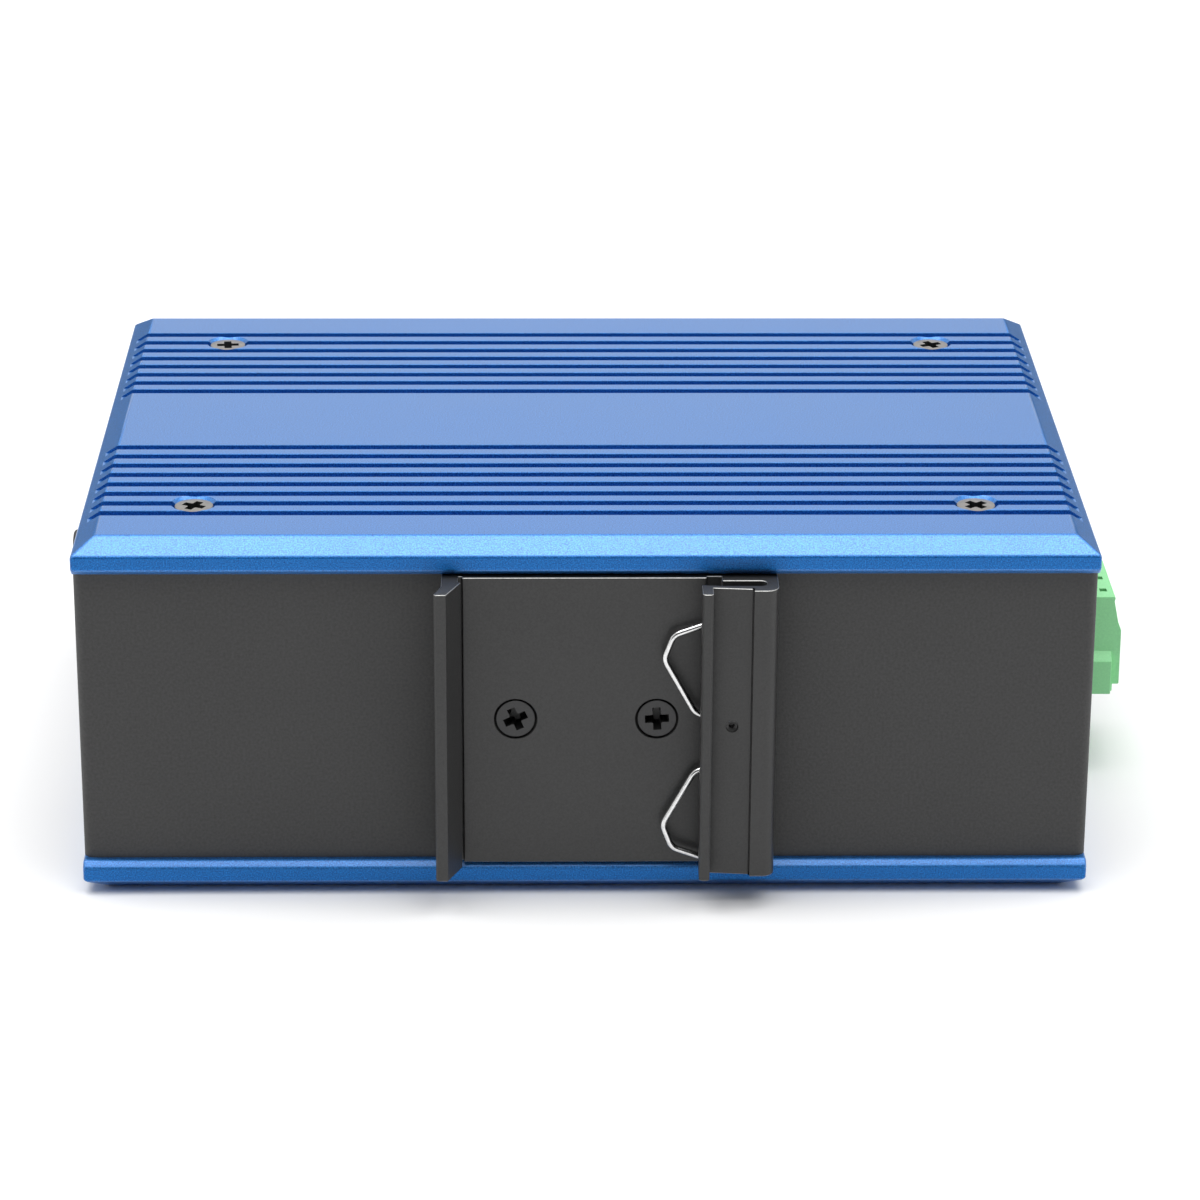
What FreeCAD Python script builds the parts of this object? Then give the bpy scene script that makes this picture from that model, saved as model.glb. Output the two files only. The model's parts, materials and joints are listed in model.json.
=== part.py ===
import FreeCAD, Part
import math
import os
import Sketcher

# DIN-rail Ethernet switch in millimetres, lying on its lower side cover.
# Origin: centre of the lower cover's outer face.  +X: the end that carries the
# power plug.  -Y: the rear, with the rail clip.  +Y: the front, with the ports.
# +Z: up, through the thickness of the switch.
#
# Two ribbed aluminium side covers close a folded steel case.  An extruded
# aluminium clip with a wire spring holds the case on a 35 mm rail.  The main
# board stands on spacers in the lower cover and carries the ports, the lamps and
# the power header, and a pluggable terminal block goes into that header.

SIZES = [
    # side covers
    ("cover_length", 144.0, "each cover along X"),
    ("cover_span", 106.0, "each cover along Y"),
    ("cover_thickness", 5.1, "outer face to inner face"),
    ("bevel_run", 3.2, "sloping edge, seen from above"),
    ("bevel_drop", 2.1, "sloping edge, seen from the side"),
    ("inner_chamfer", 0.9, "chamfer between a long edge and the inner face"),
    ("groove_count", 8, "cooling grooves on each side of the plain band"),
    ("groove_pitch", 4.0, "from one groove to the next"),
    ("groove_width", 1.75, "cooling groove"),
    ("groove_depth", 1.2, "cooling groove"),
    ("groove_land", 8.0, "plain strip between the bevel and the first groove"),
    # case
    ("case_height", 43.8, "between the two covers"),
    ("sheet", 1.0, "steel sheet of the case and the front panel"),
    ("end_inset", 0.05, "case end behind the covers' ends"),
    ("face_recess", 1.8, "case rear and front behind the covers' edges"),
    ("bend", 1.5, "outer radius of the folded corners"),
    ("tab_reach", 23.0, "mounting tab from the case end, along X"),
    ("tab_width", 18.0, "mounting tab along Y"),
    ("cover_screw_inset", 16.2, "cover screw from the cover's end"),
    ("panel_flange", 10.0, "front panel's flange inside the case end"),
    ("panel_screw_inset", 10.0, "front panel's screws from each cover"),
    ("fit_gap", 0.1, "between sheet parts that slide together"),
    # M3 fasteners
    ("screw_shank", 2.9, "thread, drawn plain"),
    ("thread_bore", 3.0, "threaded hole, drawn plain"),
    ("screw_hole", 3.4, "clearance hole"),
    ("pan_head", 5.5, "pan head's diameter"),
    ("pan_height", 2.1, "pan head's height"),
    ("head_round", 0.6, "rounded rim of a pan head"),
    ("sunk_head", 5.5, "countersunk head's diameter"),
    ("sunk_rim", 0.1, "straight rim of a countersunk head"),
    ("cross_width", 1.1, "arm of the cross recess"),
    ("cross_span", 3.4, "cross recess from tip to tip"),
    ("cross_depth", 1.1, "cross recess"),
    ("cover_sink", 0.35, "cover screw's head below the cover's face"),
    ("nut_bore_wall", 1.5, "clinch nut's wall"),
    ("nut_height", 2.0, "clinch nut inside the sheet"),
    ("cover_screw_reach", 8.2, "cover screw, head included"),
    ("panel_screw_reach", 4.6, "front panel screw below its head"),
    # rail clip
    ("rail_width", 35.0, "top-hat rail"),
    ("rail_shift", -0.5, "middle of the seated rail along X"),
    ("clip_gap", 0.1, "clip's end to the inner face of a cover"),
    ("clip_plate", 2.0, "clip plate"),
    ("clip_left", -20.3, "clip's left edge along X"),
    ("clip_right", 26.7, "clip's right edge along X"),
    ("clip_rise", 6.6, "both lips above the plate"),
    ("hook_lean", 1.0, "left lip leans outwards"),
    ("hook_tip", 1.7, "left lip's flat tip"),
    ("hook_bite", 0.4, "left lip over the rail's edge"),
    ("hook_throat", 1.8, "left lip's inner edge above the plate"),
    ("relief_depth", 0.6, "relief grooves below the plate's face"),
    ("relief_width", 0.6, "relief groove beside the left lip"),
    ("nose_bite", 1.0, "right lip over the rail's edge"),
    ("nose_width", 1.5, "right lip"),
    ("nose_throat", 2.8, "right lip's underside above the plate"),
    ("slot_floor", 1.1, "spring slot's floor above the plate"),
    ("slot_roof", 3.1, "spring slot's roof above the plate"),
    ("slot_start", 18.9, "spring slot's open side along X"),
    ("slot_end", 25.1, "spring slot's closed end along X"),
    ("wall_face_low", 3.9, "clip's front wall above the plate, at the lip"),
    ("wall_face_high", 4.4, "clip's front wall above the plate, at the step"),
    ("step_x", 23.2, "step between the front wall and the rounded edge"),
    ("edge_face", 5.1, "rounded edge above the plate"),
    ("edge_radius", 2.4, "rounded edge"),
    ("clip_corner", 0.3, "softened corners of both lips"),
    ("clip_screw_pitch", 20.0, "between the two clip screws"),
    ("clip_screw_rise", 0.4, "clip screws above the clip's middle"),
    ("clip_screw_reach", 6.0, "clip screw, head included"),
    ("stake_x", 20.4, "staked dimple along X"),
    ("stake_rise", 0.95, "staked dimple above the clip's middle"),
    ("stake_bore", 1.9, "staked dimple"),
    ("stake_depth", 0.5, "staked dimple"),
    ("stake_point", 0.8, "punch mark inside the dimple"),
    # wire spring
    ("wire", 0.9, "spring wire's diameter"),
    ("wire_bend", 2.0, "spring wire's bend radius"),
    ("spring_drop", 2.5, "spring's middle below the clip's middle"),
    ("tail_x", 20.9, "spring's two ends along X"),
    ("tail_rise", 19.4, "spring's two ends from its middle"),
    ("shoulder_x", 12.2, "hump's outer corner along X"),
    ("shoulder_rise", 16.3, "hump's outer corner from the spring's middle"),
    ("hump_x", 10.85, "hump's inner corner along X"),
    ("hump_rise", 12.7, "hump's inner corner from the spring's middle"),
    ("neck_x", 15.3, "spring's inner neck along X"),
    ("neck_rise", 4.6, "spring's inner neck from its middle"),
    ("return_x", 21.5, "spring's middle loop inside the slot, along X"),
    ("return_rise", 2.4, "spring's middle loop, half its height"),
    # main board
    ("board_gap", 4.0, "board above the lower cover"),
    ("board_thickness", 1.6, "board"),
    ("board_left_gap", 2.35, "board to the case's left end"),
    ("board_right_gap", 1.25, "board to the case's right end"),
    ("board_rear_gap", 3.5, "board to the case's rear"),
    ("board_front_gap", 2.0, "board to the front panel"),
    ("spacer_flats", 5.5, "hexagonal spacer across its flats"),
    ("spacer_gap", 1.7, "spacer's corner to a case tab"),
    ("spacer_rear_inset", 7.5, "rear spacers from the board's rear edge"),
    ("spacer_front_inset", 7.9, "front spacers behind the ports"),
    ("board_screw_reach", 4.4, "board screw below its head"),
    ("chip_side", 24.0, "switch chip"),
    ("chip_height", 1.5, "switch chip"),
    ("chip_x", -18.0, "switch chip's middle along X"),
    ("chip_setback", 32.9, "switch chip's middle behind the ports"),
    ("pad_margin", 1.5, "thermal pad past the chip"),
    ("coil_side", 12.0, "power inductor"),
    ("coil_height", 7.0, "power inductor"),
    ("coil_x", 26.0, "power inductor along X"),
    ("can_bore", 10.0, "storage capacitor's diameter"),
    ("can_height", 16.0, "storage capacitor"),
    ("can_x", 41.0, "first storage capacitor along X"),
    ("can_pitch", 13.0, "between the storage capacitors"),
    ("power_setback", 46.9, "inductor and capacitors behind the ports"),
    ("crystal_length", 11.0, "clock crystal along X"),
    ("crystal_width", 4.6, "clock crystal along Y"),
    ("crystal_height", 3.5, "clock crystal"),
    ("crystal_x", -44.0, "clock crystal along X"),
    ("magnetics_length", 15.4, "port transformer along X"),
    ("magnetics_width", 9.4, "port transformer along Y"),
    ("magnetics_height", 5.8, "port transformer"),
    ("magnetics_setback", 16.9, "port transformers' middle behind the ports"),
    ("lead", 0.6, "leads of the transformers and of the chip"),
    ("lead_count", 6, "leads on each side of a transformer"),
    # stacked ports
    ("port_columns", 4, "stacks of two ports"),
    ("port_pitch", 20.0, "from one stack to the next"),
    ("port_first", -50.0, "first stack along X"),
    ("port_width", 17.2, "stack's shield along X"),
    ("port_tall", 26.4, "stack's shield along Z"),
    ("port_deep", 25.5, "stack's shield along Y"),
    ("port_proud", 0.4, "stack in front of the panel"),
    ("shield", 0.25, "stack's metal shield"),
    ("mouth_width", 11.9, "port's mouth"),
    ("mouth_tall", 6.9, "port's mouth"),
    ("mouth_deep", 15.0, "port's mouth"),
    ("mouth_rise", 2.9, "lower mouth above the board"),
    ("mouth_pitch", 13.7, "from the lower port to the upper one"),
    ("latch_width", 6.0, "notch for the plug's latch"),
    ("latch_tall", 1.6, "notch for the plug's latch"),
    ("contact_count", 8, "spring contacts in a port"),
    ("contact_pitch", 1.02, "between the contacts"),
    ("contact_wire", 0.35, "contact's wire"),
    ("comb_depth", 0.6, "trough that the contacts lie in"),
    ("comb_length", 12.0, "contact from the port's face to its far end"),
    ("contact_lift", 2.0, "contact's free end above the trough's rim"),
    # lamps
    ("lamp_rows", 5, "rows of lamps"),
    ("lamp_pitch", 5.5, "between the rows and between the columns"),
    ("lamp_bore", 2.9, "lamp's lens"),
    ("lamp_proud", 0.6, "lamp's lens in front of the panel"),
    ("lamp_x", 42.0, "lamp holder's middle along X"),
    ("lamp_rise", 5.0, "lowest lamps above the board"),
    ("holder_width", 12.0, "lamp holder along X"),
    ("holder_deep", 8.0, "lamp holder along Y"),
    ("lamp_length", 6.0, "lamp with its lens"),
    ("lamp_gap", 0.1, "round a lamp"),
    # power terminal
    ("pole_count", 3, "poles of the power plug"),
    ("pole_pitch", 5.08, "between the poles"),
    ("plug_margin", 0.76, "plug's width past its poles"),
    ("plug_proud", 10.0, "plug's outermost face past the case end"),
    ("plug_bottom", 12.6, "plug's lower face"),
    ("plug_tall", 15.5, "plug's body"),
    ("plug_setback", 1.0, "plug's top edge behind its outermost face"),
    ("plug_lip", 0.2, "thin lip along the plug's top edge"),
    ("plug_lip_tall", 0.8, "thin lip along the plug's top edge"),
    ("brow_tall", 5.5, "plug's sloping brow"),
    ("brow_break", 1.3, "steeper foot of the brow"),
    ("plug_foot", 1.2, "plug's lowest step"),
    ("plug_lug", 1.3, "guide lug on each side of the plug"),
    ("plug_lug_tall", 5.4, "guide lug's upright face"),
    ("plug_lug_reach", 8.6, "guide lug past the case end"),
    ("tongue_tall", 8.4, "plug's tongue inside the header"),
    ("tongue_reach", 8.4, "plug's tongue inside the header"),
    ("plug_gap", 0.25, "round the tongue"),
    ("pull_gap", 0.3, "plug to the case end"),
    ("header_wall", 1.2, "header's walls"),
    ("header_deep", 12.0, "header along X"),
    ("pin_side", 1.0, "header's square pins"),
    ("pin_reach", 1.5, "pin's tip inside the case end"),
    ("cage_width", 3.6, "clamp cage along Y"),
    ("cage_tall", 6.0, "clamp cage along Z"),
    ("cage_wall", 0.5, "clamp cage"),
    ("cage_inside", 4.0, "clamp cage inside the case end"),
    ("cage_outside", 6.2, "clamp cage past the case end"),
    ("wire_mouth", 3.4, "wire entry"),
    ("driver_bore", 3.8, "hole above a clamp screw"),
    ("clamp_head", 3.4, "clamp screw's head"),
    ("clamp_thread", 2.5, "clamp screw's thread"),
    ("clamp_x", 3.9, "clamp screw past the case end"),
    ("clamp_sink", 2.0, "clamp screw's head below the plug's top"),
    ("test_slot", 1.1, "test slot in the plug's top, along X"),
    ("test_slot_length", 1.2, "test slot along Y"),
    ("test_slot_x", 7.3, "test slot past the case end"),
    # earth screw
    ("earth_y", -24.0, "earth screw along Y"),
    ("earth_inset", 6.6, "earth screw below the upper cover"),
    ("earth_washer", 7.0, "earth screw's washer"),
    ("washer_thickness", 0.5, "earth screw's washer"),
    ("earth_reach", 4.4, "earth screw below its head"),
]


class Size:
    """A number in millimetres together with the formula that gives it."""

    def __init__(self, number, formula):
        self.number = number
        self.formula = formula

    def __add__(self, other):
        return joined(self, "+", other)

    def __radd__(self, other):
        return joined(other, "+", self)

    def __sub__(self, other):
        return joined(self, "-", other)

    def __rsub__(self, other):
        return joined(other, "-", self)

    def __mul__(self, other):
        return joined(self, "*", other)

    def __rmul__(self, other):
        return joined(other, "*", self)

    def __truediv__(self, other):
        return joined(self, "/", other)

    def __neg__(self):
        return joined(-1, "*", self)


def sized(value):
    """Any number as a Size."""
    if isinstance(value, Size):
        return value
    return Size(float(value), "(%r)" % float(value))


def joined(left, sign, right):
    """Two sizes joined by one sign, in number and in formula."""
    a = sized(left)
    b = sized(right)
    results = {
        "+": lambda: a.number + b.number,
        "-": lambda: a.number - b.number,
        "*": lambda: a.number * b.number,
        "/": lambda: a.number / b.number,
    }
    return Size(results[sign](), "(%s %s %s)" % (a.formula, sign, b.formula))


class Sizes:
    """Every cell of the sheet as a Size, by its alias."""

    def __init__(self, rows):
        for alias, number, _ in rows:
            setattr(self, alias, Size(float(number), "sizes." + alias))


doc = FreeCAD.newDocument("din_rail_switch")
sheet = doc.addObject("Spreadsheet::Sheet", "sizes")
for row, (alias, number, meaning) in enumerate(SIZES, start=1):
    sheet.set("A%d" % row, str(number))
    sheet.setAlias("A%d" % row, alias)
    sheet.set("B%d" % row, meaning)
doc.recompute()
d = Sizes(SIZES)
nodes = []

UPRIGHT = FreeCAD.Rotation()
HEAD_DOWN = FreeCAD.Rotation(FreeCAD.Vector(1, 0, 0), 180)
HEAD_REAR = FreeCAD.Rotation(FreeCAD.Vector(1, 0, 0), 90)
HEAD_RIGHT = FreeCAD.Rotation(FreeCAD.Vector(0, 1, 0), 90)
HEAD_LEFT = FreeCAD.Rotation(FreeCAD.Vector(0, 1, 0), -90)


# ---------------------------------------------------------------- helpers

def place(item, x=0.0, y=0.0, z=0.0, turn=UPRIGHT):
    """Put an object at sizes along X, Y and Z, turned as given."""
    item.Placement = FreeCAD.Placement(FreeCAD.Vector(), turn)
    for axis, value in zip("xyz", (x, y, z)):
        item.setExpression("Placement.Base." + axis, sized(value).formula)
    return item


def node(item, label):
    """Name a finished sub-part and keep it for the export."""
    item.Label = label
    nodes.append(item)
    return item


def new_body(name):
    """An empty PartDesign body."""
    return doc.addObject("PartDesign::Body", name)


def origin_feature(body, role):
    """One of the body's own planes or axes."""
    for feature in body.Origin.OriginFeatures:
        if feature.Role == role:
            return feature
    raise ValueError(role)


def sketch_on(body, name, role, offset=0.0):
    """An empty sketch on one of the body's origin planes, lifted by offset."""
    sketch = body.newObject("Sketcher::SketchObject", name)
    sketch.AttachmentSupport = [(origin_feature(body, role), "")]
    sketch.MapMode = "FlatFace"
    sketch.setExpression("AttachmentOffset.Base.z", sized(offset).formula)
    return sketch


def hold_point(sketch, geometry, position, x, y):
    """Tie a point of the sketch to its two distances from the origin."""
    for kind, value in (("DistanceX", sized(x)), ("DistanceY", sized(y))):
        held = Sketcher.Constraint(kind, -1, 1, geometry, position, value.number)
        index = sketch.addConstraint(held)
        sketch.setExpression("Constraints[%d]" % index, value.formula)


def draw_outline(sketch, corners):
    """A closed outline of straight edges through the corners."""
    points = [FreeCAD.Vector(sized(x).number, sized(y).number, 0) for x, y in corners]
    first = sketch.GeometryCount
    count = len(points)
    for i in range(count):
        sketch.addGeometry(Part.LineSegment(points[i], points[(i + 1) % count]))
    for i in range(count):
        meet = Sketcher.Constraint("Coincident", first + i, 2, first + (i + 1) % count, 1)
        sketch.addConstraint(meet)
        hold_point(sketch, first + i, 1, corners[i][0], corners[i][1])


def draw_box(sketch, left, low, right, high):
    """A rectangle between two corners."""
    draw_outline(sketch, [(left, low), (right, low), (right, high), (left, high)])


def draw_circle(sketch, x, y, diameter):
    """A circle by its centre and diameter."""
    centre = FreeCAD.Vector(sized(x).number, sized(y).number, 0)
    radius = sized(diameter).number / 2
    index = sketch.addGeometry(Part.Circle(centre, FreeCAD.Vector(0, 0, 1), radius))
    hold_point(sketch, index, 3, x, y)
    width = sketch.addConstraint(Sketcher.Constraint("Diameter", index, 2 * radius))
    sketch.setExpression("Constraints[%d]" % width, sized(diameter).formula)


def pad(body, name, sketch, length, both_ways=False, backwards=False):
    """Add the sketch's outline, pushed out by length."""
    feature = body.newObject("PartDesign::Pad", name)
    feature.Profile = sketch
    feature.SideType = "Symmetric" if both_ways else "One side"
    feature.Reversed = backwards
    feature.setExpression("Length", sized(length).formula)
    return feature


def pocket(body, name, sketch, depth=None, both_ways=False, backwards=False):
    """Cut the sketch's outline to a depth, or right through, and check that it cut."""
    doc.recompute()
    before = body.Shape.Volume
    feature = body.newObject("PartDesign::Pocket", name)
    feature.Profile = sketch
    feature.SideType = "Symmetric" if both_ways else "One side"
    feature.Reversed = backwards
    if depth is None:
        feature.Type = "ThroughAll"
    else:
        feature.setExpression("Length", sized(depth).formula)
    doc.recompute()
    if body.Shape.Volume > before - 0.001:
        raise RuntimeError(name + " cuts nothing")
    return feature


def revolve(body, name, sketch, axis="Z_Axis"):
    """Turn the sketch's outline once round one of the body's axes."""
    feature = body.newObject("PartDesign::Revolution", name)
    feature.Profile = sketch
    feature.ReferenceAxis = (origin_feature(body, axis), [""])
    feature.Angle = 360.0
    return feature


def repeat(body, name, features, axis, pitch, count):
    """Repeat features along one of the body's axes."""
    feature = body.newObject("PartDesign::LinearPattern", name)
    feature.Originals = features
    feature.Direction = (origin_feature(body, axis), [""])
    feature.setExpression("Length", (pitch * (count - 1)).formula)
    feature.setExpression("Occurrences", count.formula)
    body.Tip = feature
    return feature


def edges_where(shape, test):
    """Names of the edges whose middle point and length pass the test."""
    names = []
    for index, edge in enumerate(shape.Edges, start=1):
        middle = edge.valueAt((edge.FirstParameter + edge.LastParameter) / 2)
        if test(middle, edge):
            names.append("Edge%d" % index)
    return names


def edges_near(shape, spots, plane="xy"):
    """Names of the straight edges that cross a plane at one of the spots."""
    def test(middle, edge):
        found = (getattr(middle, plane[0]), getattr(middle, plane[1]))
        ends = [vertex.Point for vertex in edge.Vertexes]
        if len(ends) < 2:
            return False
        along = ends[1] - ends[0]
        flat = abs(getattr(along, plane[0])) + abs(getattr(along, plane[1]))
        if flat > 1e-6:
            return False
        return any(math.dist(found, spot) < 1e-3 for spot in spots)
    return edges_where(shape, test)


def fillet(body, name, spots, radius, plane="xy"):
    """Round the straight edges at the spots."""
    doc.recompute()
    base = body.Tip
    places = [(sized(a).number, sized(b).number) for a, b in spots]
    feature = body.newObject("PartDesign::Fillet", name)
    feature.Base = (base, edges_near(base.Shape, places, plane))
    feature.setExpression("Radius", sized(radius).formula)
    return feature


def block(name, x, y, z, length, width, height):
    """A plain box by its lowest corner and its three lengths."""
    item = doc.addObject("Part::Box", name)
    item.setExpression("Length", sized(length).formula)
    item.setExpression("Width", sized(width).formula)
    item.setExpression("Height", sized(height).formula)
    return place(item, x, y, z)


def cut(name, base, tools):
    """The base with every tool taken away from it."""
    tool = tools[0]
    if len(tools) > 1:
        tool = doc.addObject("Part::MultiFuse", name + "_tools")
        tool.Shapes = tools
    item = doc.addObject("Part::Cut", name)
    item.Base = base
    item.Tool = tool
    return item


def group(label, original, spots):
    """One node of identical separate pieces: (x, y, z, turn) for each."""
    copies = []
    for x, y, z, turn in spots:
        copy = doc.addObject("App::Link", label + "_copy")
        copy.LinkedObject = original
        copies.append(place(copy, x, y, z, turn))
    item = doc.addObject("Part::Compound", label)
    item.Links = copies
    return node(item, label)


# ------------------------------------------------------- derived positions

LOWER_FACE = d.cover_thickness
UPPER_FACE = d.cover_thickness + d.case_height
TOP = 2 * d.cover_thickness + d.case_height
MIDDLE = d.cover_thickness + d.case_height / 2
CASE_END = d.cover_length / 2 - d.end_inset
CASE_REAR = -d.cover_span / 2 + d.face_recess
CASE_FRONT = d.cover_span / 2 - d.face_recess
SCREW_X = d.cover_length / 2 - d.cover_screw_inset
SCREW_Y = (d.cover_span / 2 - d.bevel_run - d.groove_land
           - d.groove_pitch - d.groove_width / 2)
EARTH_Z = UPPER_FACE - d.earth_inset
CLIP_SCREW_Z = MIDDLE + d.clip_screw_rise
BOARD_TOP = d.cover_thickness + d.board_gap + d.board_thickness
BOARD_UNDER = d.cover_thickness + d.board_gap
BOARD_LEFT = -CASE_END + d.sheet + d.board_left_gap
BOARD_RIGHT = CASE_END - d.sheet - d.board_right_gap
BOARD_REAR = CASE_REAR + d.sheet + d.board_rear_gap
BOARD_FRONT = CASE_FRONT - d.sheet - d.board_front_gap
PORT_FACE = CASE_FRONT + d.port_proud
PORT_REAR = PORT_FACE - d.port_deep
CORNERS = [(-1, -1), (1, -1), (1, 1), (-1, 1)]


# ------------------------------------------------------------- side covers

def side_cover(name):
    """A ribbed cover, inner face up at its full thickness, outer face at z = 0."""
    body = new_body(name)
    half_span = d.cover_span / 2
    half_length = d.cover_length / 2
    section = sketch_on(body, name + "_section", "YZ_Plane")
    draw_outline(section, [
        (-half_span + d.bevel_run, 0),
        (half_span - d.bevel_run, 0),
        (half_span, d.bevel_drop),
        (half_span, d.cover_thickness - d.inner_chamfer),
        (half_span - d.inner_chamfer, d.cover_thickness),
        (-half_span + d.inner_chamfer, d.cover_thickness),
        (-half_span, d.cover_thickness - d.inner_chamfer),
        (-half_span, d.bevel_drop),
    ])
    pad(body, name + "_plate", section, d.cover_length, both_ways=True)
    bevel = sketch_on(body, name + "_end_bevel", "XZ_Plane")
    for side in (-1, 1):
        draw_outline(bevel, [
            (side * (half_length - d.bevel_run), 0),
            (side * (half_length + d.bevel_run), -d.bevel_drop),
            (side * (half_length + d.bevel_run), d.bevel_drop),
            (side * half_length, d.bevel_drop),
        ])
    pocket(body, name + "_end_bevels", bevel, both_ways=True)
    mouth = d.sunk_head + 2 * (d.cover_sink + d.sunk_rim) + d.fit_gap
    sinks = sketch_on(body, name + "_countersinks", "XY_Plane")
    holes = sketch_on(body, name + "_screw_holes", "XY_Plane")
    for side, depth in CORNERS:
        draw_circle(sinks, side * SCREW_X, depth * SCREW_Y, mouth)
        draw_circle(holes, side * SCREW_X, depth * SCREW_Y, d.screw_hole)
    cone = pocket(body, name + "_countersink_cut", sinks, (mouth - d.screw_hole) / 2, backwards=True)
    cone.TaperAngle = -45
    pocket(body, name + "_hole_cut", holes, both_ways=True)
    groove_start = -half_span + d.bevel_run + d.groove_land
    groove = sketch_on(body, name + "_groove", "YZ_Plane")
    draw_box(groove, groove_start, -d.groove_depth, groove_start + d.groove_width, d.groove_depth)
    first = pocket(body, name + "_first_groove", groove, both_ways=True)
    repeat(body, name + "_rear_grooves", [first], "Y_Axis", d.groove_pitch, d.groove_count)
    front = sketch_on(body, name + "_front_groove", "YZ_Plane")
    draw_box(front, -groove_start, -d.groove_depth, -groove_start - d.groove_width, d.groove_depth)
    last = pocket(body, name + "_last_groove", front, both_ways=True)
    back = repeat(body, name + "_front_grooves", [last], "Y_Axis", d.groove_pitch, d.groove_count)
    back.Reversed = True
    return body


def lower_cover():
    """The cover that the switch lies on, with bores for the board's spacers."""
    body = side_cover("lower_side_cover")
    bores = sketch_on(body, "lower_spacer_bores", "XY_Plane", d.cover_thickness)
    for x, y in spacer_spots():
        draw_circle(bores, x, y, d.thread_bore)
    pocket(body, "lower_spacer_bore_cut", bores, d.cover_thickness / 2)
    node(body, "lower_side_cover")


def upper_cover():
    """The same cover the other way up."""
    body = side_cover("upper_side_cover")
    node(place(body, z=TOP, turn=HEAD_DOWN), "upper_side_cover")


# --------------------------------------------------------------- fasteners

def cross_recess(body, name, top):
    """A cross recess cut down from a screw head's top."""
    sketch = sketch_on(body, name + "_cross", "XY_Plane", top)
    arm = d.cross_width / 2
    tip = d.cross_span / 2
    draw_outline(sketch, [
        (-arm, -tip), (arm, -tip), (arm, -arm), (tip, -arm),
        (tip, arm), (arm, arm), (arm, tip), (-arm, tip),
        (-arm, arm), (-tip, arm), (-tip, -arm), (-arm, -arm),
    ])
    pocket(body, name + "_cross_cut", sketch, d.cross_depth)


def pan_screw(name, reach):
    """A pan-head screw: the head stands on z = 0 and the thread points down."""
    body = new_body(name)
    half = sketch_on(body, name + "_half", "XZ_Plane")
    shank = d.screw_shank / 2
    head = d.pan_head / 2
    point = d.screw_shank / 6
    draw_outline(half, [
        (0, -reach), (shank - point, -reach), (shank, -reach + point), (shank, 0),
        (head, 0), (head, d.pan_height - d.head_round),
        (head - d.head_round / 2, d.pan_height - d.head_round / 4),
        (head - d.head_round, d.pan_height), (0, d.pan_height),
    ])
    revolve(body, name + "_turned", half)
    cross_recess(body, name, d.pan_height)
    return body


def sunk_screw(name, reach):
    """A countersunk screw: the head's flat face lies on z = 0."""
    body = new_body(name)
    half = sketch_on(body, name + "_half", "XZ_Plane")
    shank = d.screw_shank / 2
    head = d.sunk_head / 2
    point = d.screw_shank / 6
    neck = -d.sunk_rim - (head - shank)
    draw_outline(half, [
        (0, -reach), (shank - point, -reach), (shank, -reach + point),
        (shank, neck), (head, -d.sunk_rim), (head, 0), (0, 0),
    ])
    revolve(body, name + "_turned", half)
    cross_recess(body, name, 0.0)
    return body


def clinch_nut(name):
    """A round clinch nut that stands up from z = 0."""
    body = new_body(name)
    half = sketch_on(body, name + "_half", "XZ_Plane")
    bore = d.thread_bore / 2
    rim = bore + d.nut_bore_wall
    draw_outline(half, [
        (bore, 0), (rim, 0), (rim, d.nut_height - d.nut_bore_wall / 4),
        (rim - d.nut_bore_wall / 4, d.nut_height), (bore, d.nut_height),
    ])
    revolve(body, name + "_turned", half)
    return body


def cover_fasteners(nut):
    """The screws of both covers and the nuts on the case's tabs."""
    screw = sunk_screw("cover_screw", d.cover_screw_reach)
    seat_low = d.cover_sink
    seat_high = TOP - d.cover_sink
    low = [(i * SCREW_X, j * SCREW_Y, seat_low, HEAD_DOWN) for i, j in CORNERS]
    high = [(i * SCREW_X, j * SCREW_Y, seat_high, UPRIGHT) for i, j in CORNERS]
    group("lower_cover_screws", screw, low)
    group("upper_cover_screws", screw, high)
    inside_low = LOWER_FACE + d.sheet
    inside_high = UPPER_FACE - d.sheet
    low = [(i * SCREW_X, j * SCREW_Y, inside_low, UPRIGHT) for i, j in CORNERS]
    high = [(i * SCREW_X, j * SCREW_Y, inside_high, HEAD_DOWN) for i, j in CORNERS]
    group("lower_cover_nuts", nut, low)
    group("upper_cover_nuts", nut, high)


# -------------------------------------------------------------------- case

PANEL_SCREW_Y = CASE_FRONT - d.sheet - d.panel_flange / 2
PANEL_SCREW_LOW = LOWER_FACE + d.panel_screw_inset
PANEL_SCREW_HIGH = UPPER_FACE - d.panel_screw_inset
PLUG_WIDTH = d.pole_count * d.pole_pitch + d.plug_margin
HEADER_WIDTH = PLUG_WIDTH + 2 * d.plug_gap + 2 * d.header_wall
HEADER_TOP = d.plug_bottom + d.tongue_tall + d.plug_gap + d.header_wall


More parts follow.
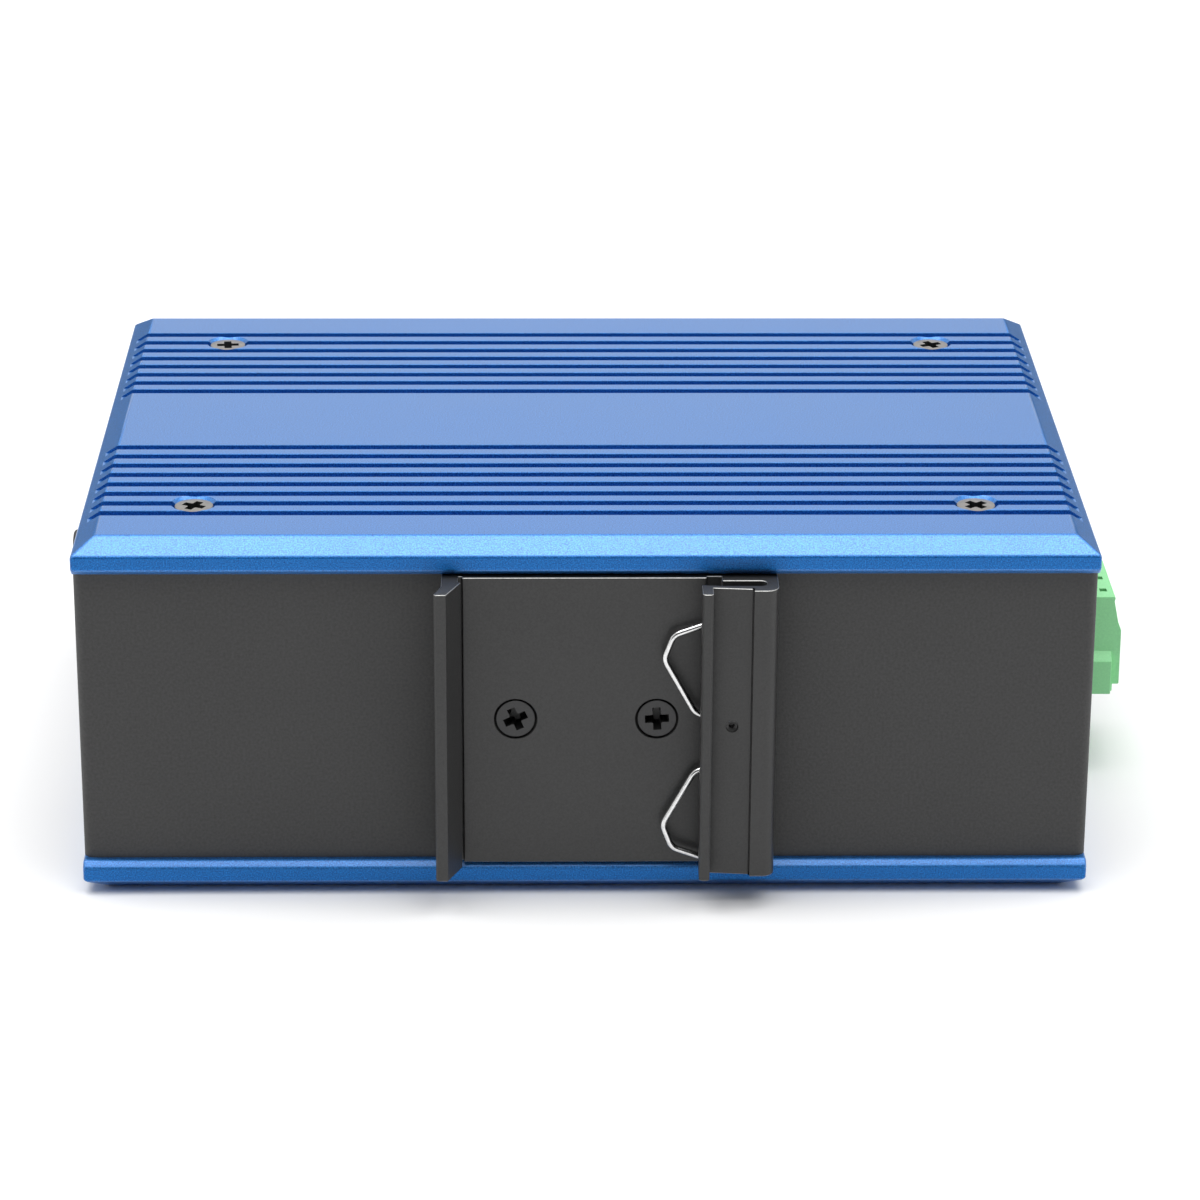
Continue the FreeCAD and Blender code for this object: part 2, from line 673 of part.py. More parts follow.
def case_shell():
    """Rear and both ends folded from one sheet, with tabs turned in at the corners."""
    body = new_body("case_shell")
    wall = sketch_on(body, "case_plan", "XY_Plane", LOWER_FACE)
    inner_end = CASE_END - d.sheet
    front = CASE_FRONT - d.sheet - d.fit_gap
    draw_outline(wall, [
        (-CASE_END, front), (-CASE_END, CASE_REAR), (CASE_END, CASE_REAR), (CASE_END, front),
        (inner_end, front), (inner_end, CASE_REAR + d.sheet),
        (-inner_end, CASE_REAR + d.sheet), (-inner_end, front),
    ])
    pad(body, "case_wall", wall, d.case_height)
    outer = [(-CASE_END, CASE_REAR), (CASE_END, CASE_REAR)]
    inner = [(-inner_end, CASE_REAR + d.sheet), (inner_end, CASE_REAR + d.sheet)]
    fillet(body, "case_outer_bends", outer, d.bend)
    fillet(body, "case_inner_bends", inner, d.bend - d.sheet)
    for name, level in (("low", LOWER_FACE), ("high", UPPER_FACE - d.sheet)):
        tabs = sketch_on(body, "case_tabs_" + name, "XY_Plane", level)
        for i, j in CORNERS:
            near = j * SCREW_Y - d.tab_width / 2
            far = j * SCREW_Y + d.tab_width / 2
            root = i * (CASE_END - d.sheet / 2)
            tip = i * (CASE_END - d.tab_reach)
            draw_box(tabs, root, near, tip, far)
        pad(body, "case_tab_" + name, tabs, d.sheet)
    holes = sketch_on(body, "case_tab_holes", "XY_Plane")
    for i, j in CORNERS:
        draw_circle(holes, i * SCREW_X, j * SCREW_Y, d.screw_hole)
    pocket(body, "case_tab_hole_cut", holes, both_ways=True)
    rear = sketch_on(body, "case_clip_holes", "XZ_Plane", -CASE_REAR)
    for side in (-1, 1):
        draw_circle(rear, side * d.clip_screw_pitch / 2, CLIP_SCREW_Z, d.screw_hole)
    pocket(body, "case_clip_hole_cut", rear, 2 * d.sheet)
    ends = sketch_on(body, "case_end_holes", "YZ_Plane")
    for level in (PANEL_SCREW_LOW, PANEL_SCREW_HIGH):
        draw_circle(ends, PANEL_SCREW_Y, level, d.screw_hole)
    pocket(body, "case_end_hole_cut", ends, both_ways=True)
    window = sketch_on(body, "case_plug_window", "YZ_Plane")
    half = HEADER_WIDTH / 2 + d.fit_gap
    draw_box(window, -half, BOARD_TOP - d.fit_gap, half, HEADER_TOP + d.fit_gap)
    pocket(body, "case_plug_window_cut", window, backwards=True)
    earth = sketch_on(body, "case_earth_hole", "YZ_Plane")
    draw_circle(earth, d.earth_y, EARTH_Z, d.screw_hole)
    pocket(body, "case_earth_hole_cut", earth)
    node(body, "case_shell")


def port_centre(column):
    """Middle of a stack of ports along X."""
    return d.port_first + column * d.port_pitch


def lamp_spots():
    """Every lamp's place along X and Z."""
    columns = (d.lamp_x - d.lamp_pitch / 2, d.lamp_x + d.lamp_pitch / 2)
    rows = range(int(d.lamp_rows.number))
    base = BOARD_TOP + d.lamp_rise
    return [(x, base + row * d.lamp_pitch) for x in columns for row in rows]


def front_panel():
    """Front sheet with two flanges folded back inside the case ends."""
    body = new_body("front_panel")
    outer = CASE_END - d.sheet - d.fit_gap
    inner = outer - d.sheet
    back = CASE_FRONT - d.sheet
    tail = back - d.panel_flange
    plan = sketch_on(body, "panel_plan", "XY_Plane", LOWER_FACE)
    draw_box(plan, -CASE_END, back, CASE_END, CASE_FRONT)
    pad(body, "panel_sheet", plan, d.case_height)
    fillet(body, "panel_edges", [(-CASE_END, CASE_FRONT), (CASE_END, CASE_FRONT)], d.sheet / 2)
    lift = d.sheet + d.fit_gap
    flanges = sketch_on(body, "panel_flanges", "XY_Plane", LOWER_FACE + lift)
    draw_box(flanges, -outer, tail, -inner, back)
    draw_box(flanges, inner, tail, outer, back)
    pad(body, "panel_flange_sheets", flanges, d.case_height - 2 * lift)
    windows = sketch_on(body, "panel_windows", "XZ_Plane", -CASE_FRONT)
    half = d.port_width / 2 + d.fit_gap
    for column in range(int(d.port_columns.number)):
        centre = port_centre(column)
        draw_box(windows, centre - half, BOARD_TOP - d.fit_gap,
                 centre + half, BOARD_TOP + d.port_tall + d.fit_gap)
    for x, z in lamp_spots():
        draw_circle(windows, x, z, d.lamp_bore + 2 * d.lamp_gap)
    pocket(body, "panel_window_cut", windows, 2 * d.sheet, backwards=True)
    ends = sketch_on(body, "panel_end_holes", "YZ_Plane")
    for level in (PANEL_SCREW_LOW, PANEL_SCREW_HIGH):
        draw_circle(ends, PANEL_SCREW_Y, level, d.screw_hole)
    pocket(body, "panel_end_hole_cut", ends, both_ways=True)
    node(body, "front_panel")


def panel_fasteners(nut):
    """The screws that hold the front panel's flanges, and their nuts."""
    screw = pan_screw("panel_screw", d.panel_screw_reach)
    levels = (PANEL_SCREW_LOW, PANEL_SCREW_HIGH)
    inside = CASE_END - 2 * d.sheet - d.fit_gap
    screws = []
    nuts = []
    for level in levels:
        screws.append((CASE_END, PANEL_SCREW_Y, level, HEAD_RIGHT))
        screws.append((-CASE_END, PANEL_SCREW_Y, level, HEAD_LEFT))
        nuts.append((inside, PANEL_SCREW_Y, level, HEAD_LEFT))
        nuts.append((-inside, PANEL_SCREW_Y, level, HEAD_RIGHT))
    group("front_panel_screws", screw, screws)
    group("front_panel_nuts", nut, nuts)


def earth_parts(nut):
    """The earth screw on the left end, with its washer and nut."""
    screw = pan_screw("earth_bolt", d.earth_reach)
    outside = -CASE_END - d.washer_thickness
    group("earth_screw", screw, [(outside, d.earth_y, EARTH_Z, HEAD_LEFT)])
    ring = new_body("earth_washer_body")
    face = sketch_on(ring, "earth_washer_face", "XY_Plane")
    draw_circle(face, 0, 0, d.earth_washer)
    draw_circle(face, 0, 0, d.screw_hole)
    pad(ring, "earth_washer_disc", face, d.washer_thickness)
    node(place(ring, -CASE_END, d.earth_y, EARTH_Z, HEAD_LEFT), "earth_washer")
    inside = -CASE_END + d.sheet
    group("earth_nut", nut, [(inside, d.earth_y, EARTH_Z, HEAD_RIGHT)])


# --------------------------------------------------------------- rail clip

CLIP_FACE = CASE_REAR - d.clip_plate
CLIP_LOW = LOWER_FACE + d.clip_gap
CLIP_TALL = d.case_height - 2 * d.clip_gap
RAIL_LEFT = d.rail_shift - d.rail_width / 2
RAIL_RIGHT = d.rail_shift + d.rail_width / 2
NOSE_LEFT = RAIL_RIGHT - d.nose_bite
NOSE_RIGHT = NOSE_LEFT + d.nose_width
STAKE_Z = MIDDLE + d.stake_rise


def clip_point(x, rise):
    """A corner of the clip's section, its rise measured from the plate's face."""
    return (x, CLIP_FACE - rise)


def din_rail_clip():
    """The extruded clip: plate, leaning left lip, right lip and spring slot."""
    body = new_body("din_rail_clip")
    section = sketch_on(body, "clip_section", "XY_Plane", CLIP_LOW)
    lip_edge = RAIL_LEFT + d.hook_bite
    tip_left = d.clip_left - d.hook_lean
    plate_left = RAIL_LEFT + d.relief_width
    relief_left = NOSE_LEFT + d.nose_width / 2
    corner = d.clip_corner
    draw_outline(section, [
        clip_point(d.clip_left, -d.clip_plate),
        clip_point(d.clip_left, d.clip_rise / 2),
        clip_point(tip_left, d.clip_rise - corner),
        clip_point(tip_left + corner, d.clip_rise),
        clip_point(tip_left + d.hook_tip, d.clip_rise),
        clip_point(lip_edge, d.hook_throat),
        clip_point(RAIL_LEFT, d.hook_throat - d.hook_bite),
        clip_point(RAIL_LEFT, -d.relief_depth),
        clip_point(plate_left, -d.relief_depth),
        clip_point(plate_left, 0),
        clip_point(relief_left, 0),
        clip_point(relief_left, -d.relief_depth),
        clip_point(d.slot_start, -d.relief_depth),
        clip_point(d.slot_start, d.slot_floor),
        clip_point(d.slot_end, d.slot_floor),
        clip_point(d.slot_end, d.slot_roof),
        clip_point(d.slot_start, d.slot_roof),
        clip_point(NOSE_LEFT, d.nose_throat),
        clip_point(NOSE_LEFT, d.clip_rise - corner),
        clip_point(NOSE_LEFT + corner, d.clip_rise),
        clip_point(NOSE_RIGHT - corner, d.clip_rise),
        clip_point(NOSE_RIGHT, d.clip_rise - corner),
        clip_point(NOSE_RIGHT, d.wall_face_low),
        clip_point(d.step_x, d.wall_face_high),
        clip_point(d.step_x, d.edge_face),
        clip_point(d.clip_right, d.edge_face),
        clip_point(d.clip_right, -d.clip_plate),
    ])
    pad(body, "clip_extrusion", section, CLIP_TALL)
    slot_round = (d.slot_roof - d.slot_floor) * 0.45
    slot_spots = [clip_point(d.slot_end, d.slot_floor), clip_point(d.slot_end, d.slot_roof)]
    fillet(body, "clip_slot_end", slot_spots, slot_round)
    fillet(body, "clip_round_edge", [clip_point(d.clip_right, d.edge_face)], d.edge_radius)
    back_corner = [clip_point(d.clip_right, -d.clip_plate)]
    fillet(body, "clip_back_corner", back_corner, d.clip_plate / 3)
    holes = sketch_on(body, "clip_screw_holes", "XZ_Plane", -CLIP_FACE)
    sinks = []
    for side in (-1, 1):
        draw_circle(holes, side * d.clip_screw_pitch / 2, CLIP_SCREW_Z, d.screw_hole)
        sinks.append(side * d.clip_screw_pitch.number / 2)
    pocket(body, "clip_screw_hole_cut", holes, d.clip_plate)
    rims = edges_where(body.Shape, lambda middle, edge: is_rim(edge, CLIP_FACE.number, sinks))
    sink = body.newObject("PartDesign::Chamfer", "clip_countersinks")
    sink.Base = (body.getObject("clip_screw_hole_cut"), rims)
    wide = (d.sunk_head - d.screw_hole) / 2 + 2 * d.sunk_rim + d.fit_gap / 2
    sink.setExpression("Size", wide.formula)
    stake = sketch_on(body, "clip_stake", "XZ_Plane", -CLIP_FACE + d.edge_face)
    draw_circle(stake, d.stake_x, STAKE_Z, d.stake_bore)
    pocket(body, "clip_stake_cut", stake, d.edge_face - d.wall_face_low + d.stake_depth / 2)
    point = sketch_on(body, "clip_stake_point", "XZ_Plane", -CLIP_FACE + d.edge_face)
    draw_circle(point, d.stake_x, STAKE_Z, d.stake_point)
    pocket(body, "clip_stake_point_cut", point, d.edge_face - d.wall_face_low + 2 * d.stake_depth)
    node(body, "din_rail_clip")


def is_rim(edge, level, centres):
    """Whether an edge is a hole's circle on the clip's face."""
    if not isinstance(edge.Curve, Part.Circle):
        return False
    centre = edge.Curve.Center
    on_face = abs(centre.y - level) < 1e-4
    return on_face and any(abs(centre.x - x) < 1e-3 for x in centres)


def clip_fasteners(nut):
    """Two countersunk screws through the clip into nuts on the case's rear."""
    screw = sunk_screw("clip_screw", d.clip_screw_reach)
    half = d.clip_screw_pitch / 2
    seat = CLIP_FACE + d.sunk_rim
    inside = CASE_REAR + d.sheet
    spots = [side * half for side in (-1, 1)]
    group("clip_screws", screw, [(x, seat, CLIP_SCREW_Z, HEAD_REAR) for x in spots])
    turned = FreeCAD.Rotation(FreeCAD.Vector(1, 0, 0), -90)
    group("clip_nuts", nut, [(x, inside, CLIP_SCREW_Z, turned) for x in spots])


def bend_at(before, corner, after, radius):
    """The arc that rounds a corner: its arc geometry and its two ends in order."""
    back = (before - corner).normalize()
    ahead = (after - corner).normalize()
    half = math.acos(back.dot(ahead)) / 2
    start = corner + back * (radius / math.tan(half))
    end = corner + ahead * (radius / math.tan(half))
    centre = corner + (back + ahead).normalize() * (radius / math.sin(half))
    left_turn = back.cross(ahead).z < 0
    first, last = (start, end) if left_turn else (end, start)
    angles = [math.atan2(p.y - centre.y, p.x - centre.x) for p in (first, last)]
    if angles[1] < angles[0]:
        angles[1] += 2 * math.pi
    circle = Part.Circle(centre, FreeCAD.Vector(0, 0, 1), radius)
    return Part.ArcOfCircle(circle, angles[0], angles[1]), start, end, left_turn


def draw_bent_wire(sketch, corners, radius):
    """Straight runs between the corners, each corner rounded to the bend radius."""
    points = [FreeCAD.Vector(sized(x).number, sized(y).number, 0) for x, y in corners]
    run_start = points[0]
    runs = []
    bends = []
    for i in range(1, len(points) - 1):
        arc, start, end, left_turn = bend_at(points[i - 1], points[i], points[i + 1], radius.number)
        runs.append(sketch.addGeometry(Part.LineSegment(run_start, start)))
        bends.append((sketch.addGeometry(arc), left_turn))
        run_start = end
    runs.append(sketch.addGeometry(Part.LineSegment(run_start, points[-1])))
    hold_point(sketch, runs[0], 1, corners[0][0], corners[0][1])
    hold_point(sketch, runs[-1], 2, corners[-1][0], corners[-1][1])
    for i, (bend, left_turn) in enumerate(bends):
        near, far = (1, 2) if left_turn else (2, 1)
        sketch.addConstraint(Sketcher.Constraint("Tangent", runs[i], 2, bend, near))
        sketch.addConstraint(Sketcher.Constraint("Tangent", runs[i + 1], 1, bend, far))
        index = sketch.addConstraint(Sketcher.Constraint("Radius", bend, radius.number))
        sketch.setExpression("Constraints[%d]" % index, radius.formula)
        corner = sketch.addGeometry(Part.Point(points[i + 1]), True)
        sketch.addConstraint(Sketcher.Constraint("PointOnObject", corner, 1, runs[i]))
        sketch.addConstraint(Sketcher.Constraint("PointOnObject", corner, 1, runs[i + 1]))
        hold_point(sketch, corner, 1, corners[i + 1][0], corners[i + 1][1])


def rail_spring():
    """One bent wire: two humps that press on the rail, its middle in the clip's slot."""
    body = new_body("rail_spring")
    level = CLIP_FACE - d.slot_floor - d.wire / 2
    path = sketch_on(body, "spring_path", "XZ_Plane", -level)
    middle = MIDDLE - d.spring_drop
    half = [
        (d.tail_x, d.tail_rise), (d.shoulder_x, d.shoulder_rise), (d.hump_x, d.hump_rise),
        (d.neck_x, d.neck_rise), (d.return_x, d.return_rise),
    ]
    upper = [(x, middle + rise) for x, rise in half]
    lower = [(x, middle - rise) for x, rise in reversed(half)]
    draw_bent_wire(path, upper + lower, d.wire_bend)
    ring = body.newObject("Sketcher::SketchObject", "spring_ring")
    ring.AttachmentSupport = [(path, "Edge1")]
    ring.MapMode = "NormalToEdge"
    draw_circle(ring, 0, 0, d.wire)
    pipe = body.newObject("PartDesign::AdditivePipe", "spring_wire")
    pipe.Profile = ring
    pipe.Spine = path
    node(body, "rail_spring")


# -------------------------------------------------------------- main board

def spacer_spots():
    """Places of the board's four spacers."""
    rows = (BOARD_REAR + d.spacer_rear_inset, PORT_REAR - d.spacer_front_inset)
    corner = d.spacer_flats * (1 / math.sqrt(3))
    middle = CASE_END - d.tab_reach - d.spacer_gap - corner
    return [(side * middle, y) for y in rows for side in (-1, 1)]


def main_board():
    """The board, with a hole above each spacer."""
    body = new_body("main_board")
    outline = sketch_on(body, "board_outline", "XY_Plane", BOARD_UNDER)
    draw_box(outline, BOARD_LEFT, BOARD_REAR, BOARD_RIGHT, BOARD_FRONT)
    for x, y in spacer_spots():
        draw_circle(outline, x, y, d.screw_hole)
    pad(body, "board_panel", outline, d.board_thickness)
    node(body, "main_board")


def board_fixings():
    """Four hexagonal spacers and their screws."""
    spacer = new_body("spacer")
    flat = sketch_on(spacer, "spacer_hexagon", "XY_Plane")
    half = d.spacer_flats / 2
    point = d.spacer_flats * (1 / math.sqrt(3))
    draw_outline(flat, [
        (point, 0), (point / 2, half), (-point / 2, half),
        (-point, 0), (-point / 2, -half), (point / 2, -half),
    ])
    pad(spacer, "spacer_body", flat, d.board_gap)
    foot = sketch_on(spacer, "spacer_foot", "XY_Plane")
    draw_circle(foot, 0, 0, d.thread_bore - d.fit_gap)
    pad(spacer, "spacer_stud", foot, d.cover_thickness / 2 - d.fit_gap, backwards=True)
    bore = sketch_on(spacer, "spacer_bore", "XY_Plane", d.board_gap)
    draw_circle(bore, 0, 0, d.thread_bore)
    pocket(spacer, "spacer_bore_cut", bore, d.board_gap - d.sheet)
    group("board_spacers", spacer, [(x, y, LOWER_FACE, UPRIGHT) for x, y in spacer_spots()])
    screw = pan_screw("board_screw", d.board_screw_reach)
    group("board_screws", screw, [(x, y, BOARD_TOP, UPRIGHT) for x, y in spacer_spots()])


def chip_and_pad():
    """The switch chip under the board, pressed on the cover through a soft pad."""
    chip = new_body("switch_chip")
    half = d.chip_side / 2
    base = sketch_on(chip, "chip_outline", "XY_Plane")
    draw_box(base, -half, -half, half, half)
    pad(chip, "chip_body", base, d.chip_height)
    spots = [(i * half, j * half) for i, j in CORNERS]
    fillet(chip, "chip_corners", spots, d.chip_height / 2)
    node(place(chip, d.chip_x, PORT_REAR - d.chip_setback, BOARD_UNDER - d.chip_height), "switch_chip")
    side = d.chip_side + 2 * d.pad_margin
    left = d.chip_x - side / 2
    near = PORT_REAR - d.chip_setback - side / 2
    soft = block("pad_block", left, near, LOWER_FACE, side, side, d.board_gap - d.chip_height)
    node(soft, "thermal_pad")


def transformer(column):
    """A port transformer: a moulded block on two rows of folded leads."""
    label = "port_transformer_%d" % (column + 1)
    body = new_body(label)
    face = sketch_on(body, label + "_outline", "XY_Plane", d.lead)
    half_x = d.magnetics_length / 2
    half_y = d.magnetics_width / 2
    draw_box(face, -half_x, -half_y, half_x, half_y)
    pad(body, label + "_block", face, d.magnetics_height - d.lead)
    leads = sketch_on(body, label + "_lead", "XY_Plane")
    pitch = d.magnetics_length / d.lead_count
    start = -half_x + pitch / 2 - d.lead / 2
    draw_box(leads, start, -half_y - d.lead, start + d.lead, half_y + d.lead)
    first = pad(body, label + "_first_leads", leads, d.lead)
    repeat(body, label + "_leads", [first], "X_Axis", pitch, d.lead_count)
    node(place(body, port_centre(column), PORT_REAR - d.magnetics_setback, BOARD_TOP), label)


def power_parts():
    """The inductor and the two storage capacitors behind the power header."""
    coil = new_body("power_inductor")
    half = d.coil_side / 2
    base = sketch_on(coil, "coil_outline", "XY_Plane")
    draw_box(base, -half, -half, half, half)
    pad(coil, "coil_block", base, d.coil_height)
    fillet(coil, "coil_corners", [(i * half, j * half) for i, j in CORNERS], d.coil_side / 6)
    node(place(coil, d.coil_x, PORT_REAR - d.power_setback, BOARD_TOP), "power_inductor")
    can = new_body("capacitor_can")
    section = sketch_on(can, "can_half", "XZ_Plane")
    radius = d.can_bore / 2
    neck = d.can_bore / 20
    draw_outline(section, [
        (0, 0), (radius, 0), (radius, d.can_height / 8), (radius - neck, d.can_height / 6),
        (radius, d.can_height / 5), (radius, d.can_height - neck),
        (radius - neck, d.can_height), (0, d.can_height),
    ])
    revolve(can, "can_turned", section)
    spots = [(d.can_x + i * d.can_pitch, PORT_REAR - d.power_setback, BOARD_TOP, UPRIGHT) for i in (0, 1)]
    group("storage_capacitors", can, spots)


def clock_crystal():
    """The switch chip's clock crystal, a low metal can with rounded ends."""
    body = new_body("clock_crystal")
    half_x = d.crystal_length / 2
    half_y = d.crystal_width / 2
    base = sketch_on(body, "crystal_outline", "XY_Plane")
    draw_box(base, -half_x, -half_y, half_x, half_y)
    pad(body, "crystal_can", base, d.crystal_height)
    corners = [(i * half_x, j * half_y) for i, j in CORNERS]
    fillet(body, "crystal_ends", corners, d.crystal_width * 0.45)
    node(place(body, d.crystal_x, PORT_REAR - d.chip_setback, BOARD_TOP), "clock_crystal")


# ------------------------------------------------------------------- ports

LOWER_MOUTH = BOARD_TOP + d.mouth_rise
UPPER_MOUTH = LOWER_MOUTH + d.mouth_pitch


def draw_mouth(sketch, level, latch_up):
    """A port's mouth with the latch notch above or below it."""
    half = d.mouth_width / 2
    notch = d.latch_width / 2
    top = level + d.mouth_tall
    if latch_up:
        draw_outline(sketch, [
            (-half, level), (half, level), (half, top), (notch, top),
            (notch, top + d.latch_tall), (-notch, top + d.latch_tall), (-notch, top), (-half, top),
        ])
    else:
        draw_outline(sketch, [
            (-half, level), (-notch, level), (-notch, level - d.latch_tall),
            (notch, level - d.latch_tall), (notch, level), (half, level), (half, top), (-half, top),
        ])


def port_stack(column):
    """One stack of two ports: shield, moulded insert and the spring contacts."""
    number = column + 1
    centre = port_centre(column)
    half = d.port_width / 2
    shield = new_body("port_shield_%d" % number)
    plan = sketch_on(shield, "shield_outline_%d" % number, "XZ_Plane", -PORT_REAR)
    draw_box(plan, -half, BOARD_TOP, half, BOARD_TOP + d.port_tall)
    pad(shield, "shield_block_%d" % number, plan, d.port_deep, backwards=True)
    hollow = sketch_on(shield, "shield_hollow_%d" % number, "XZ_Plane", -PORT_REAR - d.shield)
    inner = half - d.shield
    ceiling = BOARD_TOP + d.port_tall - d.shield
    draw_box(hollow, -inner, BOARD_TOP - d.shield, inner, ceiling)
    depth = d.port_deep - 2 * d.shield
    pocket(shield, "shield_hollow_cut_%d" % number, hollow, depth, backwards=False)
    mouths = sketch_on(shield, "shield_mouths_%d" % number, "XZ_Plane", -PORT_FACE)
    draw_mouth(mouths, LOWER_MOUTH, False)
    draw_mouth(mouths, UPPER_MOUTH, True)
    pocket(shield, "shield_mouth_cut_%d" % number, mouths, d.shield, backwards=True)
    node(place(shield, centre), "port_shield_%d" % number)

    insert = new_body("port_insert_%d" % number)
    core = sketch_on(insert, "insert_outline_%d" % number, "XZ_Plane", -PORT_FACE + d.shield)
    draw_box(core, -inner, BOARD_TOP, inner, ceiling)
    pad(insert, "insert_block_%d" % number, core, depth)
    cavities = sketch_on(insert, "insert_mouths_%d" % number, "XZ_Plane", -PORT_FACE + d.shield)
    draw_mouth(cavities, LOWER_MOUTH, False)
    draw_mouth(cavities, UPPER_MOUTH, True)
    reach = d.mouth_deep - d.shield
    pocket(insert, "insert_mouth_cut_%d" % number, cavities, reach, backwards=True)
    combs = sketch_on(insert, "insert_combs_%d" % number, "XZ_Plane", -PORT_FACE + d.shield)
    comb = (d.contact_count * d.contact_pitch) / 2
    draw_box(combs, -comb, UPPER_MOUTH - d.comb_depth, comb, UPPER_MOUTH)
    lower_rim = LOWER_MOUTH + d.mouth_tall
    draw_box(combs, -comb, lower_rim, comb, lower_rim + d.comb_depth)
    pocket(insert, "insert_comb_cut_%d" % number, combs, d.comb_length, backwards=True)
    node(place(insert, centre), "port_insert_%d" % number)


def port_contact():
    """One spring contact: a flat leg in the trough, bent back over itself."""
    body = new_body("port_contact")
    side = sketch_on(body, "contact_side", "YZ_Plane")
    wire = d.contact_wire
    foot = -d.comb_depth
    nose = -2 * d.shield - 2 * wire
    draw_outline(side, [
        (-d.comb_length, foot), (nose, foot), (nose, foot + 1.5 * wire),
        (-d.comb_length * 0.75, d.contact_lift), (-d.comb_length * 0.77, d.contact_lift - wire),
        (nose - 3 * wire, foot + wire), (-d.comb_length, foot + wire),
    ])
    pad(body, "contact_strip", side, wire, both_ways=True)
    return body


def port_contacts(column, contact):
    """Sixteen contacts in one stack, eight standing up and eight hanging down."""
    over = FreeCAD.Rotation(FreeCAD.Vector(0, 1, 0), 180)
    lower_rim = LOWER_MOUTH + d.mouth_tall
    spots = []
    for index in range(int(d.contact_count.number)):
        step = (index - (d.contact_count - 1) / 2) * d.contact_pitch
        x = port_centre(column) + step
        spots.append((x, PORT_FACE, UPPER_MOUTH, UPRIGHT))
        spots.append((x, PORT_FACE, lower_rim, over))
    group("port_contacts_%d" % (column + 1), contact, spots)


# ------------------------------------------------------------------- lamps

def lamp_parts():
    """The lamp holder behind the front panel and its ten lamps."""
    holder = new_body("lamp_holder")
    half = d.holder_width / 2
    front = CASE_FRONT - d.sheet - d.fit_gap
    height = d.lamp_rise + d.lamp_rows * d.lamp_pitch
    face = sketch_on(holder, "holder_face", "XZ_Plane", -front)
    draw_box(face, d.lamp_x - half, BOARD_TOP, d.lamp_x + half, BOARD_TOP + height)
    for x, z in lamp_spots():
        draw_circle(face, x, z, d.lamp_bore + 2 * d.lamp_gap)
    pad(holder, "holder_block", face, d.holder_deep, backwards=False)
    node(holder, "lamp_holder")
    lamp = new_body("lamp")
    disc = sketch_on(lamp, "lamp_disc", "XZ_Plane")
    draw_circle(disc, 0, 0, d.lamp_bore)
    pad(lamp, "lamp_stem", disc, d.lamp_length)
    doc.recompute()
    dome = lamp.newObject("PartDesign::Fillet", "lamp_dome")
    rim = edges_where(lamp.getObject("lamp_stem").Shape, is_front_rim)
    dome.Base = (lamp.getObject("lamp_stem"), rim)
    dome.setExpression("Radius", (d.lamp_bore * 0.4).formula)
    turned = FreeCAD.Rotation(FreeCAD.Vector(0, 0, 1), 180)
    tip = CASE_FRONT + d.lamp_proud - d.lamp_length
    group("indicator_lamps", lamp, [(x, tip, z, turned) for x, z in lamp_spots()])


def is_front_rim(middle, edge):
    """Whether an edge is the round rim at the lamp's free end."""
    return isinstance(edge.Curve, Part.Circle) and middle.y < -d.lamp_length.number / 2


# ---------------------------------------------------------- power terminal

HEADER_REAR = CASE_END - d.header_deep
PIN_LEVEL = d.plug_bottom + d.tongue_tall / 2
PLUG_FACE = CASE_END + d.pull_gap
PLUG_TOP = d.plug_bottom + d.plug_tall


def pole_spots():
    """Every pole's place along Y."""
    count = int(d.pole_count.number)
    return [(index - (d.pole_count - 1) / 2) * d.pole_pitch for index in range(count)]


def power_header():
    """The board's socket for the plug, with its bent square pins."""
    body = new_body("power_header")
    half = HEADER_WIDTH / 2
    side = sketch_on(body, "header_face", "YZ_Plane", HEADER_REAR)
    draw_box(side, -half, BOARD_TOP, half, HEADER_TOP)
    pad(body, "header_block", side, d.header_deep)
    mouth = sketch_on(body, "header_mouth", "YZ_Plane", CASE_END)
    hollow = PLUG_WIDTH / 2 + d.plug_gap
    draw_box(mouth, -hollow, d.plug_bottom - d.plug_gap, hollow,
             d.plug_bottom + d.tongue_tall + d.plug_gap)
    pocket(body, "header_mouth_cut", mouth, d.tongue_reach + d.plug_gap)
    holes = sketch_on(body, "header_pin_holes", "YZ_Plane", HEADER_REAR)
    pin = d.pin_side / 2
    for y in pole_spots():
        draw_box(holes, y - pin, PIN_LEVEL - pin, y + pin, PIN_LEVEL + pin)
    pocket(body, "header_pin_hole_cut", holes, d.header_deep, backwards=True)
    node(body, "power_header")
    bent = new_body("header_pin")
    elbow = sketch_on(bent, "pin_side_view", "XZ_Plane")
    tip = CASE_END - d.pin_reach
    back = HEADER_REAR - d.pin_side
    draw_outline(elbow, [
        (back - d.pin_side / 2, BOARD_TOP), (back + d.pin_side / 2, BOARD_TOP),
        (back + d.pin_side / 2, PIN_LEVEL - pin), (tip, PIN_LEVEL - pin),
        (tip, PIN_LEVEL + pin), (back - d.pin_side / 2, PIN_LEVEL + pin),
    ])
    pad(bent, "pin_wire", elbow, d.pin_side, both_ways=True)
    group("power_header_pins", bent, [(0, y, 0, UPRIGHT) for y in pole_spots()])


